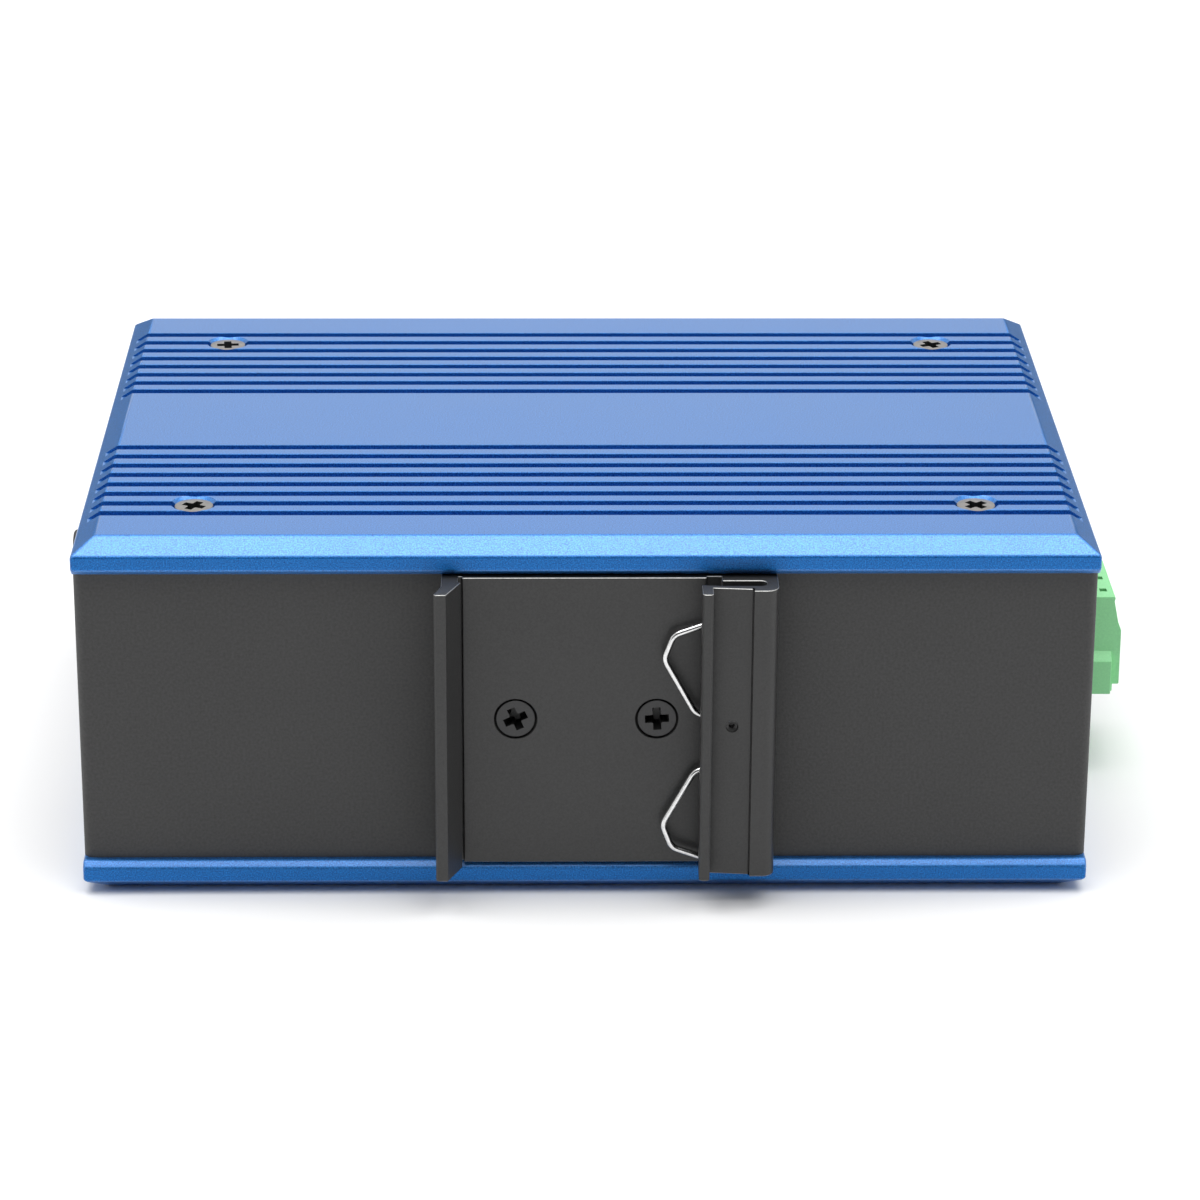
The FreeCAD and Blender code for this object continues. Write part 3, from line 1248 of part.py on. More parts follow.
def power_plug():
    """The pull-off plug: body with a sloping brow, tongue, lugs and openings."""
    body = new_body("power_plug")
    side = sketch_on(body, "plug_side", "XZ_Plane")
    outer = CASE_END + d.plug_proud
    tongue_top = d.plug_bottom + d.tongue_tall
    tongue_end = CASE_END - d.tongue_reach
    draw_outline(side, [
        (tongue_end, d.plug_bottom),
        (outer - d.plug_setback, d.plug_bottom),
        (outer - d.plug_setback, d.plug_bottom + d.plug_foot),
        (outer, d.plug_bottom + d.plug_foot),
        (outer, PLUG_TOP - d.brow_tall),
        (outer - d.plug_setback / 2, PLUG_TOP - d.brow_tall + d.brow_break),
        (outer - d.plug_setback - d.plug_lip, PLUG_TOP - d.plug_lip_tall),
        (outer - d.plug_setback, PLUG_TOP),
        (PLUG_FACE, PLUG_TOP),
        (PLUG_FACE, tongue_top),
        (tongue_end, tongue_top),
    ])
    pad(body, "plug_block", side, PLUG_WIDTH, both_ways=True)
    lugs = sketch_on(body, "plug_lugs", "YZ_Plane", PLUG_FACE)
    for j in (-1, 1):
        root = j * PLUG_WIDTH / 2
        tip = root + j * d.plug_lug
        rim = d.plug_bottom + d.plug_lug_tall
        draw_outline(lugs, [
            (root, d.plug_bottom), (tip, d.plug_bottom),
            (tip, rim), (root, rim + d.plug_lug),
        ])
    pad(body, "plug_lug_blocks", lugs, d.plug_lug_reach - d.pull_gap)
    channels = sketch_on(body, "plug_channels", "YZ_Plane", tongue_end)
    wide = d.cage_width / 2 + d.fit_gap
    tall = d.cage_tall / 2 + d.fit_gap
    for y in pole_spots():
        draw_box(channels, y - wide, PIN_LEVEL - tall, y + wide, PIN_LEVEL + tall)
    reach = d.tongue_reach + d.cage_outside + d.fit_gap
    pocket(body, "plug_channel_cut", channels, reach, backwards=True)
    wires = sketch_on(body, "plug_wire_mouths", "YZ_Plane", outer)
    for y in pole_spots():
        draw_circle(wires, y, PIN_LEVEL, d.wire_mouth)
    pocket(body, "plug_wire_mouth_cut", wires, d.plug_proud - d.cage_outside)
    drivers = sketch_on(body, "plug_driver_holes", "XY_Plane", PLUG_TOP)
    slots = sketch_on(body, "plug_test_slots", "XY_Plane", PLUG_TOP)
    slot_x = CASE_END + d.test_slot_x
    for y in pole_spots():
        draw_circle(drivers, CASE_END + d.clamp_x, y, d.driver_bore)
        draw_box(slots, slot_x - d.test_slot / 2, y - d.test_slot_length / 2,
                 slot_x + d.test_slot / 2, y + d.test_slot_length / 2)
    pocket(body, "plug_driver_hole_cut", drivers, PLUG_TOP - PIN_LEVEL)
    pocket(body, "plug_test_slot_cut", slots, d.plug_tall / 4)
    node(body, "power_plug")


def clamp_parts():
    """The three wire cages inside the plug and their clamp screws."""
    cage = new_body("clamp_cage")
    frame = sketch_on(cage, "cage_frame", "YZ_Plane", CASE_END - d.cage_inside)
    wide = d.cage_width / 2
    tall = d.cage_tall / 2
    draw_box(frame, -wide, PIN_LEVEL - tall, wide, PIN_LEVEL + tall)
    draw_box(frame, -wide + d.cage_wall, PIN_LEVEL - tall + d.cage_wall,
             wide - d.cage_wall, PIN_LEVEL + tall - d.cage_wall)
    pad(cage, "cage_tube", frame, d.cage_inside + d.cage_outside)
    hole = sketch_on(cage, "cage_hole", "XY_Plane", PIN_LEVEL + tall)
    draw_circle(hole, CASE_END + d.clamp_x, 0, d.clamp_thread)
    pocket(cage, "cage_hole_cut", hole, 2 * d.cage_wall)
    group("plug_cages", cage, [(0, y, 0, UPRIGHT) for y in pole_spots()])
    screw = new_body("clamp_screw")
    half = sketch_on(screw, "clamp_half", "XZ_Plane")
    thread = d.clamp_thread / 2
    head = d.clamp_head / 2
    lowest = -(PLUG_TOP - d.clamp_sink - PIN_LEVEL - d.pin_side)
    cheese = d.clamp_head / 2
    draw_outline(half, [
        (0, lowest), (thread, lowest), (thread, -cheese), (head, -cheese),
        (head, -d.cage_wall / 2), (head - d.cage_wall / 2, 0), (0, 0),
    ])
    revolve(screw, "clamp_turned", half)
    slit = sketch_on(screw, "clamp_slit", "XY_Plane")
    draw_box(slit, -head, -d.cage_wall / 2, head, d.cage_wall / 2)
    pocket(screw, "clamp_slit_cut", slit, cheese / 2)
    top = PLUG_TOP - d.clamp_sink
    spots = [(CASE_END + d.clamp_x, y, top, UPRIGHT) for y in pole_spots()]
    group("plug_clamp_screws", screw, spots)


def build_all():
    """Every piece of the switch."""
    lower_cover()
    upper_cover()
    nut = clinch_nut("clinch_nut")
    case_shell()
    front_panel()
    cover_fasteners(nut)
    panel_fasteners(nut)
    earth_parts(nut)
    din_rail_clip()
    clip_fasteners(nut)
    rail_spring()
    main_board()
    board_fixings()
    chip_and_pad()
    power_parts()
    clock_crystal()
    contact = port_contact()
    for column in range(int(d.port_columns.number)):
        transformer(column)
        port_stack(column)
        port_contacts(column, contact)
    lamp_parts()
    power_header()
    power_plug()
    clamp_parts()


build_all()
doc.recompute()
for item in doc.Objects:
    if "Invalid" in item.State or "Error" in item.State:
        raise RuntimeError("%s failed: %s" % (item.Name, item.State))
os.makedirs("parts", exist_ok=True)
for item in nodes:
    shape = item.Shape
    if shape.isNull() or not shape.isValid():
        raise RuntimeError("%s has no sound shape" % item.Label)
    shape.exportStep("parts/%s.step" % item.Label)
    print(item.Label, round(shape.Volume, 1), len(shape.Solids), shape.BoundBox)
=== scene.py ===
"""Looks of a DIN-rail Ethernet switch: two ribbed covers, a folded case, a rail clip and a power plug."""

import json
import logging
import math
from dataclasses import dataclass
from enum import Enum
from typing import Callable, Dict, List, Optional, Sequence, Tuple, Union

import bmesh
import bpy
from mathutils import Euler, Matrix, Vector


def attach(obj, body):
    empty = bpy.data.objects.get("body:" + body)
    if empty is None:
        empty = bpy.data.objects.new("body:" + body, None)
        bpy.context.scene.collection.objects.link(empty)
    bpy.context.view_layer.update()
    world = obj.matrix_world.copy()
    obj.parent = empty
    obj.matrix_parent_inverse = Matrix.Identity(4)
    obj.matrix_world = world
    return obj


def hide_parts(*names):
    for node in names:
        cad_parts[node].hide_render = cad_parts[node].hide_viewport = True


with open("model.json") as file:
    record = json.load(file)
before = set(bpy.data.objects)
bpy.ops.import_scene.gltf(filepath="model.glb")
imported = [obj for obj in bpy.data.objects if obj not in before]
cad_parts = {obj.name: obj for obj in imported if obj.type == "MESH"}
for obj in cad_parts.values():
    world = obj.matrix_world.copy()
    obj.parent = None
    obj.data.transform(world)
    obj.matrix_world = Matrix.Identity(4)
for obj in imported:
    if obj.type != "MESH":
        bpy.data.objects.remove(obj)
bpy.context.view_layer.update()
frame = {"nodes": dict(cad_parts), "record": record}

MM = 0.001
# How near two places in millimetres lie before they count as one.
TOUCH = 0.01
# Flats round a turned shape that is looked at closely.
FINE_FLATS = 64
LOG = logging.getLogger("switch")
Point2 = Tuple[float, float]
Point3 = Tuple[float, float, float]
SocketKey = Union[int, str]


class Body(Enum):
    """The two bodies that move as one piece each."""

    SWITCH = "switch"
    PLUG = "plug"


class Facing(Enum):
    """The way a fastener's head faces, as a turn of a head that looks up."""

    UP = (0.0, 0.0, 0.0)
    DOWN = (180.0, 0.0, 0.0)
    REAR = (90.0, 0.0, 0.0)
    RIGHT = (0.0, 90.0, 0.0)
    LEFT = (0.0, -90.0, 0.0)


# ------------------------------------------------------------------ colours


def linear(code: str) -> Tuple[float, float, float, float]:
    """Turn an sRGB hex colour into linear values.

    Args:
        code: Six hex digits, such as "3C3C3C".

    Returns:
        Red, green, blue and an alpha of one.
    """
    parts = [int(code[i:i + 2], 16) / 255.0 for i in (0, 2, 4)]
    curved = [p / 12.92 if p <= 0.04045 else ((p + 0.055) / 1.055) ** 2.4 for p in parts]
    return (curved[0], curved[1], curved[2], 1.0)


# -------------------------------------------------------------- node helper


def add_node(
    tree: bpy.types.NodeTree,
    kind: str,
    settings: Optional[Dict[str, object]] = None,
    values: Optional[Dict[SocketKey, object]] = None,
    links: Optional[Dict[SocketKey, bpy.types.NodeSocket]] = None,
) -> bpy.types.Node:
    """Add one shader node with its settings, socket values and links.

    Args:
        tree: The material's or world's node tree.
        kind: The node's type name.
        settings: Properties of the node itself.
        values: Input sockets set to constants.
        links: Input sockets fed from other nodes' outputs.

    Returns:
        The new node.
    """
    node = tree.nodes.new(kind)
    for name, value in (settings or {}).items():
        setattr(node, name, value)
    for name, value in (values or {}).items():
        node.inputs[name].default_value = value
    for name, source in (links or {}).items():
        tree.links.new(source, node.inputs[name])
    return node


# ---------------------------------------------------------------- finishes


@dataclass(frozen=True)
class Finish:
    """A surface made from a base colour, a fine grain and a soft unevenness."""

    name: str
    colour: str
    shade: str
    metallic: float = 0.0
    roughness: float = 0.45
    grain_mm: float = 0.3
    grain_depth_mm: float = 0.01
    grain_bump: float = 0.2
    contrast: float = 0.2
    cloud_mm: float = 12.0
    cloud_roughness: float = 0.04
    ior: float = 1.5
    coat: float = 0.0
    coat_roughness: float = 0.1
    transmission: float = 0.0

    def build(self) -> bpy.types.Material:
        """Build the node material.

        Returns:
            The material, ready to be put on a mesh.
        """
        material = bpy.data.materials.new(self.name)
        material.use_nodes = True
        tree = material.node_tree
        shader = tree.nodes["Principled BSDF"]
        where = add_node(tree, "ShaderNodeTexCoord")
        grain = add_node(
            tree, "ShaderNodeTexNoise",
            values={"Scale": 1.0 / (self.grain_mm * MM), "Detail": 3.0, "Roughness": 0.6},
            links={"Vector": where.outputs["Object"]},
        )
        cloud = add_node(
            tree, "ShaderNodeTexNoise",
            values={"Scale": 1.0 / (self.cloud_mm * MM), "Detail": 2.0},
            links={"Vector": where.outputs["Object"]},
        )
        tone = add_node(
            tree, "ShaderNodeValToRGB",
            links={"Fac": grain.outputs["Fac"]},
        )
        tone.color_ramp.elements[0].position = 0.5 - self.contrast
        tone.color_ramp.elements[0].color = linear(self.shade)
        tone.color_ramp.elements[1].position = 0.5 + self.contrast
        tone.color_ramp.elements[1].color = linear(self.colour)
        gloss = add_node(
            tree, "ShaderNodeMapRange",
            values={
                "To Min": self.roughness - self.cloud_roughness,
                "To Max": self.roughness + self.cloud_roughness,
            },
            links={"Value": cloud.outputs["Fac"]},
        )
        bump = add_node(
            tree, "ShaderNodeBump",
            values={"Strength": self.grain_bump, "Distance": self.grain_depth_mm * MM},
            links={"Height": grain.outputs["Fac"]},
        )
        shader.inputs["Metallic"].default_value = self.metallic
        shader.inputs["IOR"].default_value = self.ior
        shader.inputs["Coat Weight"].default_value = self.coat
        shader.inputs["Coat Roughness"].default_value = self.coat_roughness
        shader.inputs["Transmission Weight"].default_value = self.transmission
        tree.links.new(tone.outputs["Color"], shader.inputs["Base Color"])
        tree.links.new(gloss.outputs["Result"], shader.inputs["Roughness"])
        tree.links.new(bump.outputs["Normal"], shader.inputs["Normal"])
        return material


# Bead-blasted and dyed anodised aluminium: a bright blue metal with a pale bloom and a fine sparkle.
# The blasting's real grain of about 0.1 mm is drawn at 0.2 mm, so that it shows.
BLUE_ANODISED = Finish(
    "anodised_aluminium_blue", "3A8CD6", "145498", metallic=1.0, roughness=0.56, grain_mm=0.2,
    grain_depth_mm=0.05, grain_bump=0.8, contrast=0.16, coat=1.0, coat_roughness=0.28,
)
# Painted shade: a darker copy of the blue for the covers' upright edges, deeper and with less of a bloom,
# standing in for the dimmer reflection that these faces catch.
BLUE_PAINTED_SHADE = Finish(
    "anodised_aluminium_blue_drawn", "2184D4", "0C4688", metallic=1.0, roughness=0.56, grain_mm=0.2,
    grain_depth_mm=0.05, grain_bump=0.8, contrast=0.18, coat=0.35, coat_roughness=0.28,
)
# Powder coat on folded steel: a near-black grey, dull, with the fine orange peel of baked powder.
POWDER_COAT = Finish(
    "powder_coat_dark_grey", "3C3C3C", "2F2F2F", roughness=0.62, grain_mm=0.4, grain_depth_mm=0.05,
    grain_bump=0.5,
)
# Sand-blasted and anodised extrusion: the case's grey, a little glossier.
GREY_ANODISED = Finish(
    "anodised_aluminium_grey", "303030", "262626", roughness=0.42, grain_depth_mm=0.04, grain_bump=0.5,
)
# Zinc-plated steel: bright, slightly cloudy.
ZINC_PLATE = Finish(
    "zinc_plated_steel", "A39F9A", "8F8B87", metallic=1.0, roughness=0.35, grain_mm=0.6,
    grain_depth_mm=0.005, grain_bump=0.1,
)
# Black-oxide steel: dark and a little oily.
BLACK_OXIDE = Finish("black_oxide_steel", "2E2E2F", "242425", roughness=0.42, grain_depth_mm=0.008)
# Painted shade on the walls of a screw's recess: a near-black colour that stands in for the shadow deep in the
# recess.
RECESS_PAINTED_SHADE = Finish("oiled_screw_recess", "121212", "0A0A0A", roughness=0.5, grain_depth_mm=0.008)
# Bright drawn spring wire: mirror-like along its round.
SPRING_WIRE = Finish(
    "drawn_spring_wire", "E2E2E2", "C6C6C6", metallic=1.0, roughness=0.2, grain_mm=0.4,
    grain_depth_mm=0.003, grain_bump=0.1,
)
# Painted highlight: a bright metal on the rounded rim of the clip's sawn ends, a thin bright rim that stands in
# for the light this edge catches.
RIM_PAINTED_HIGHLIGHT = Finish("sawn_aluminium_edge", "B4B4B2", "8E8E8C", metallic=1.0)
# Moulded polyamide: a satin light green.
GREEN_NYLON = Finish("polyamide_green", "94E4A1", "8CDB99", roughness=0.42, grain_bump=0.15)
# Moulded black thermoplastic of the port inserts: satin, almost black.
BLACK_PLASTIC = Finish("moulded_plastic_black", "1B1B1C", "141415", grain_bump=0.15)
# Tinned sheet of the port shields: pale and softly bright.
TIN_PLATE = Finish(
    "tin_plated_sheet", "CFCFCB", "C6C6C2", metallic=1.0, roughness=0.28, grain_mm=0.5,
    grain_depth_mm=0.005, grain_bump=0.1,
)
# Gold over nickel on spring contacts: warm and bright.
GOLD_PLATE = Finish(
    "gold_plated_bronze", "E0B45A", "CFA24A", metallic=1.0, roughness=0.22, grain_depth_mm=0.003,
    grain_bump=0.1,
)
# Solder resist on glass-fibre laminate: a glossy green skin over a faint weave.
SOLDER_RESIST = Finish(
    "solder_resist_green", "1E6B3C", "175C32", roughness=0.35, grain_mm=0.6, grain_bump=0.15, coat=0.3,
)
# Epoxy moulding compound of chips and coils: a flat black.
EPOXY_MOULD = Finish(
    "epoxy_moulding_black", "242425", "1C1C1D", roughness=0.55, grain_mm=0.2, grain_depth_mm=0.008,
)
# Silicone gap filler: chalky and soft.
SILICONE_PAD = Finish(
    "silicone_pad_grey", "8C98A4", "808C98", roughness=0.8, grain_mm=0.5, grain_depth_mm=0.02,
    grain_bump=0.3,
)
# Tinted lamp lens: a clear plastic that is dull while the lamp is off.
CLEAR_LENS = Finish(
    "clear_lens_green", "B9E6B0", "A9D9A0", roughness=0.12, grain_mm=1.0, grain_depth_mm=0.002,
    grain_bump=0.05, transmission=0.6,
)
# Shrink sleeve on a capacitor can: smooth blue-black film.
SHRINK_SLEEVE = Finish(
    "shrink_sleeve_black", "1D2230", "171B27", roughness=0.3, grain_mm=0.5, grain_depth_mm=0.005,
    grain_bump=0.1,
)

SLOT_FINISH: Dict[str, Finish] = {
    "blue_aluminium": BLUE_ANODISED,
    "dark_coat": POWDER_COAT,
    "grey_aluminium": GREY_ANODISED,
    "plated_steel": ZINC_PLATE,
    "black_steel": BLACK_OXIDE,
    "spring_steel": SPRING_WIRE,
    "green_plastic": GREEN_NYLON,
    "black_plastic": BLACK_PLASTIC,
    "tin_plate": TIN_PLATE,
    "gold_plate": GOLD_PLATE,
    "circuit_board": SOLDER_RESIST,
    "chip_mould": EPOXY_MOULD,
    "soft_pad": SILICONE_PAD,
    "lamp_lens": CLEAR_LENS,
    "capacitor_sleeve": SHRINK_SLEEVE,
}


class Paints:
    """Every finish's material, built once when it is first asked for."""

    def __init__(self) -> None:
        """Start with no material built."""
        self._built: Dict[str, bpy.types.Material] = {}

    def of(self, slot: str) -> bpy.types.Material:
        """The material of a record slot.

        Args:
            slot: The record's material slot.

        Returns:
            The slot's material.
        """
        if slot not in self._built:
            self._built[slot] = SLOT_FINISH[slot].build()
        return self._built[slot]

    def extra(self, finish: Finish) -> bpy.types.Material:
        """The material of a finish that has no slot of its own.

        Args:
            finish: The finish.

        Returns:
            The finish's material.
        """
        if finish.name not in self._built:
            self._built[finish.name] = finish.build()
        return self._built[finish.name]


# ------------------------------------------------------------------ studio


@dataclass(frozen=True)
class Card:
    """A black card that stands upright on the floor, out of sight, in millimetres."""

    name: str
    left: float
    right: float
    back: float
    tall: float


@dataclass(frozen=True)
class SoftBox:
    """A square soft lamp: its place and aim in millimetres, its power in watts."""

    name: str
    at: Point3
    aim: Point3
    size: Point2
    power: float

    def hang(self) -> None:
        """Hang the lamp."""
        data = bpy.data.lights.new(self.name, "AREA")
        data.shape = "RECTANGLE"
        data.size = self.size[0] * MM
        data.size_y = self.size[1] * MM
        data.energy = self.power
        lamp = bpy.data.objects.new(self.name, data)
        lamp.location = Vector(self.at) * MM
        direction = (Vector(self.aim) - Vector(self.at)).normalized()
        lamp.rotation_euler = direction.to_track_quat("-Z", "Y").to_euler()
        bpy.context.scene.collection.objects.link(lamp)


@dataclass
class Studio:
    """White floor, soft lamps, dark cards and the camera, sizes in millimetres."""

    floor_size: float = 6000.0
    paper: str = "F6F6F6"
    velvet: str = "101010"
    camera_at: Point3 = (-7.8, -606.7, 263.1)
    azimuth: float = 1.0
    depression: float = 21.46
    roll: float = 0.29
    lens: float = 127.6
    world_light: float = 0.7
    cards: Tuple[Card, ...] = (
        Card("front_flag", -1800.0, 1800.0, -1500.0, 1400.0),
        Card("left_flag", -1700.0, -380.0, 1500.0, 620.0),
        Card("right_flag", 380.0, 1700.0, 1500.0, 620.0),
    )
    lamps: Tuple[SoftBox, ...] = (
        SoftBox("overhead_box", (0, -150, 1100), (0, -150, 0), (1400, 1200), 12.0),
        SoftBox("overhead_strip", (0, -10, 1090), (0, -10, 0), (1300, 160), 3.6),
    )

    def build(self) -> None:
        """Build the floor, the cards, the world, the lamps and the camera."""
        half = self.floor_size / 2
        corners = [(-half, -half, 0), (half, -half, 0), (half, half, 0), (-half, half, 0)]
        self._panel("floor", corners, self._matte("studio_paper", self.paper, 0.9))
        velvet = self._matte("black_velvet", self.velvet, 1.0)
        for card in self.cards:
            corners = [
                (card.left, card.back, 0), (card.right, card.back, 0),
                (card.right, card.back, card.tall), (card.left, card.back, card.tall),
            ]
            self._panel(card.name, corners, velvet).visible_camera = False
        self._world()
        for lamp in self.lamps:
            lamp.hang()
        self._camera()
        LOG.info("studio ready")

    def _matte(self, name: str, colour: str, roughness: float) -> bpy.types.Material:
        """A plain dull finish.

        Args:
            name: The material's name.
            colour: Its sRGB hex colour.
            roughness: Its roughness.

        Returns:
            The material.
        """
        material = bpy.data.materials.new(name)
        material.use_nodes = True
        shader = material.node_tree.nodes["Principled BSDF"]
        shader.inputs["Base Color"].default_value = linear(colour)
        shader.inputs["Roughness"].default_value = roughness
        return material

    def _panel(self, name: str, corners: Sequence[Point3], material: bpy.types.Material) -> bpy.types.Object:
        """A flat panel of the studio.

        Args:
            name: The panel's name.
            corners: Its four corners.
            material: Its finish.

        Returns:
            The panel.
        """
        mesh = bpy.data.meshes.new(name)
        mesh.from_pydata([Vector(corner) * MM for corner in corners], [], [(0, 1, 2, 3)])
        mesh.materials.append(material)
        panel = bpy.data.objects.new(name, mesh)
        bpy.context.scene.collection.objects.link(panel)
        return panel

    def _world(self) -> None:
        """White for what the camera and gloss see, softer as a light."""
        world = bpy.data.worlds.new("studio_world")
        bpy.context.scene.world = world
        world.use_nodes = True
        tree = world.node_tree
        tree.nodes.clear()
        path = add_node(tree, "ShaderNodeLightPath")
        straight = add_node(
            tree, "ShaderNodeMath", {"operation": "MAXIMUM"},
            links={0: path.outputs["Is Camera Ray"], 1: path.outputs["Is Transmission Ray"]},
        )
        seen = add_node(
            tree, "ShaderNodeMath", {"operation": "MAXIMUM"},
            links={0: straight.outputs[0], 1: path.outputs["Is Glossy Ray"]},
        )
        white = linear("FFFFFF")
        soft = add_node(tree, "ShaderNodeBackground", values={"Color": white, "Strength": self.world_light})
        full = add_node(tree, "ShaderNodeBackground", values={"Color": white, "Strength": 1.0})
        mix = add_node(
            tree, "ShaderNodeMixShader",
            links={0: seen.outputs[0], 1: soft.outputs[0], 2: full.outputs[0]},
        )
        add_node(tree, "ShaderNodeOutputWorld", links={"Surface": mix.outputs[0]})

    def _camera(self) -> None:
        """The viewer's eye."""
        data = bpy.data.cameras.new("camera")
        data.lens = self.lens
        data.sensor_width = 36.0
        camera = bpy.data.objects.new("camera", data)
        turn = math.radians(self.azimuth)
        down = math.radians(self.depression)
        look = Vector((
            math.sin(turn) * math.cos(down),
            math.cos(turn) * math.cos(down),
            -math.sin(down),
        ))
        face = look.to_track_quat("-Z", "Y").to_matrix().to_4x4()
        tilt = Matrix.Rotation(math.radians(self.roll), 4, "Z")
        camera.matrix_world = Matrix.Translation(Vector(self.camera_at) * MM) @ face @ tilt
        bpy.context.scene.collection.objects.link(camera)
        bpy.context.scene.camera = camera


# ------------------------------------------------------------------ solids


def rounded(corners: Sequence[Tuple[float, float, float]], steps: int = 4, closed: bool = True) -> List[Point2]:
    """Round the corners of a line of straight runs.

    Args:
        corners: Two coordinates and a radius for each corner, in millimetres.
        steps: Straight pieces in each rounded corner.
        closed: Whether the last corner joins the first.

    Returns:
        The points of the rounded line.
    """
    count = len(corners)
    points: List[Point2] = []
    for i, (u, v, radius) in enumerate(corners):
        here = Vector((u, v))
        if radius <= 0.0 or (not closed and i in (0, count - 1)):
            points.append((u, v))
            continue
        back = Vector(corners[i - 1][:2]) - here
        ahead = Vector(corners[(i + 1) % count][:2]) - here
        half = back.angle(ahead) / 2
        run = min(radius / math.tan(half), 0.48 * back.length, 0.48 * ahead.length)
        reach = run * math.tan(half)
        start = here + back.normalized() * run
        centre = here + (back.normalized() + ahead.normalized()).normalized() * (reach / math.sin(half))
        spoke = start - centre
        swing = math.pi - 2 * half
        side = 1.0 if back.x * ahead.y - back.y * ahead.x < 0 else -1.0
        for step in range(steps + 1):
            turn = side * swing * step / steps
            points.append((
                centre.x + spoke.x * math.cos(turn) - spoke.y * math.sin(turn),
                centre.y + spoke.x * math.sin(turn) + spoke.y * math.cos(turn),
            ))
    return points


class Axis(Enum):
    """The direction that an outline is drawn out along."""

    X = "x"
    Y = "y"
    Z = "z"

    def point(self, u: float, v: float, along: float) -> Point3:
        """Put an outline's point into space."""
        spots = {Axis.X: (along, u, v), Axis.Y: (u, along, v), Axis.Z: (u, v, along)}
        return spots[self]


class Solid:
    """A closed mesh in millimetres that can be moved, softened, joined and cut."""

    def __init__(self, mesh: bmesh.types.BMesh) -> None:
        """Take over a mesh."""
        self.mesh = mesh

    @classmethod
    def prism(cls, outline: Sequence[Point2], start: float, end: float, axis: Axis) -> "Solid":
        """Draw an outline out along an axis.

        Args:
            outline: The outline's points.
            start: Where it begins along the axis.
            end: Where it ends along the axis.
            axis: The axis.

        Returns:
            The closed solid.
        """
        mesh = bmesh.new()
        near = [mesh.verts.new(axis.point(u, v, start)) for u, v in outline]
        far = [mesh.verts.new(axis.point(u, v, end)) for u, v in outline]
        mesh.faces.new(near)
        mesh.faces.new(far)
        for i in range(len(outline)):
            mesh.faces.new((near[i], near[i - 1], far[i - 1], far[i]))
        bmesh.ops.recalc_face_normals(mesh, faces=mesh.faces[:])
        return cls(mesh)

    @classmethod
    def lathe(cls, profile: Sequence[Point2], steps: int = 48) -> "Solid":
        """Turn a profile about the Z axis.

        Args:
            profile: Radius and height of each point, from axis to axis.
            steps: Flats round the axis.

        Returns:
            The closed solid.
        """
        mesh = bmesh.new()
        rings = []
        for radius, height in profile:
            if radius <= 0.0:
                rings.append([mesh.verts.new((0.0, 0.0, height))])
                continue
            turns = [2 * math.pi * i / steps for i in range(steps)]
            rings.append([mesh.verts.new((radius * math.cos(a), radius * math.sin(a), height)) for a in turns])
        for low, high in zip(rings, rings[1:]):
            for i in range(steps):
                j = (i + 1) % steps
                ring = [low[i % len(low)], low[j % len(low)], high[j % len(high)], high[i % len(high)]]
                mesh.faces.new(list(dict.fromkeys(ring)))
        bmesh.ops.recalc_face_normals(mesh, faces=mesh.faces[:])
        return cls(mesh)

    @classmethod
    def stack(cls, levels: Sequence[Sequence[Point3]]) -> "Solid":
        """Skin over outlines that have the same number of points.

        Args:
            levels: The outlines, in order.

        Returns:
            The closed solid.
        """
        mesh = bmesh.new()
        rings = [[mesh.verts.new(point) for point in level] for level in levels]
        mesh.faces.new(rings[0])
        mesh.faces.new(rings[-1])
        for low, high in zip(rings, rings[1:]):
            for i in range(len(low)):
                mesh.faces.new((low[i - 1], low[i], high[i], high[i - 1]))
        bmesh.ops.recalc_face_normals(mesh, faces=mesh.faces[:])
        return cls(mesh)

    @classmethod
    def hull(cls, corners: Sequence[Point3]) -> "Solid":
        """Wrap corners in their convex skin.

        Args:
            corners: The corners.

        Returns:
            The closed solid, with flat faces in one piece.
        """
        mesh = bmesh.new()
        for corner in corners:
            mesh.verts.new(corner)
        bmesh.ops.convex_hull(mesh, input=mesh.verts[:])
        bmesh.ops.dissolve_limit(mesh, angle_limit=math.radians(1), verts=mesh.verts[:], edges=mesh.edges[:])
        bmesh.ops.recalc_face_normals(mesh, faces=mesh.faces[:])
        return cls(mesh)

    @classmethod
    def box(cls, low: Point3, high: Point3) -> "Solid":
        """A block between two corners."""
        flat = [(low[0], low[1]), (high[0], low[1]), (high[0], high[1]), (low[0], high[1])]
        return cls.prism(flat, low[2], high[2], Axis.Z)

    def copy(self) -> "Solid":
        """The same solid once more."""
        return Solid(self.mesh.copy())

    def turned(self, matrix: Matrix) -> "Solid":
        """Turn or move the solid."""
        bmesh.ops.transform(self.mesh, matrix=matrix, verts=self.mesh.verts[:])
        return self

    def placed(self, at: Point3, facing: Facing = Facing.UP, twist: float = 0.0) -> "Solid":
        """Turn a solid that looks up, and put it in its place.

        Args:
            at: Its place.
            facing: The way it faces.
            twist: A turn about its own axis first, in degrees.

        Returns:
            The solid itself.
        """
        spin = Matrix.Rotation(math.radians(twist), 4, "Z")
        way = Euler([math.radians(angle) for angle in facing.value]).to_matrix().to_4x4()
        return self.turned(Matrix.Translation(Vector(at)) @ way @ spin)

    def softened(self, width: float, segments: int = 2, sharper: float = 20.0) -> "Solid":
        """Round every edge that is sharper than an angle.

        Args:
            width: The rounding's width.
            segments: Flats in the rounding.
            sharper: The angle in degrees.

        Returns:
            The solid itself.
        """
        limit = math.radians(sharper)
        edges = [e for e in self.mesh.edges if len(e.link_faces) == 2 and e.calc_face_angle(0.0) > limit]
        bmesh.ops.bevel(
            self.mesh, geom=edges, offset=width, segments=segments, profile=0.5,
            affect="EDGES", clamp_overlap=True,
        )
        return self

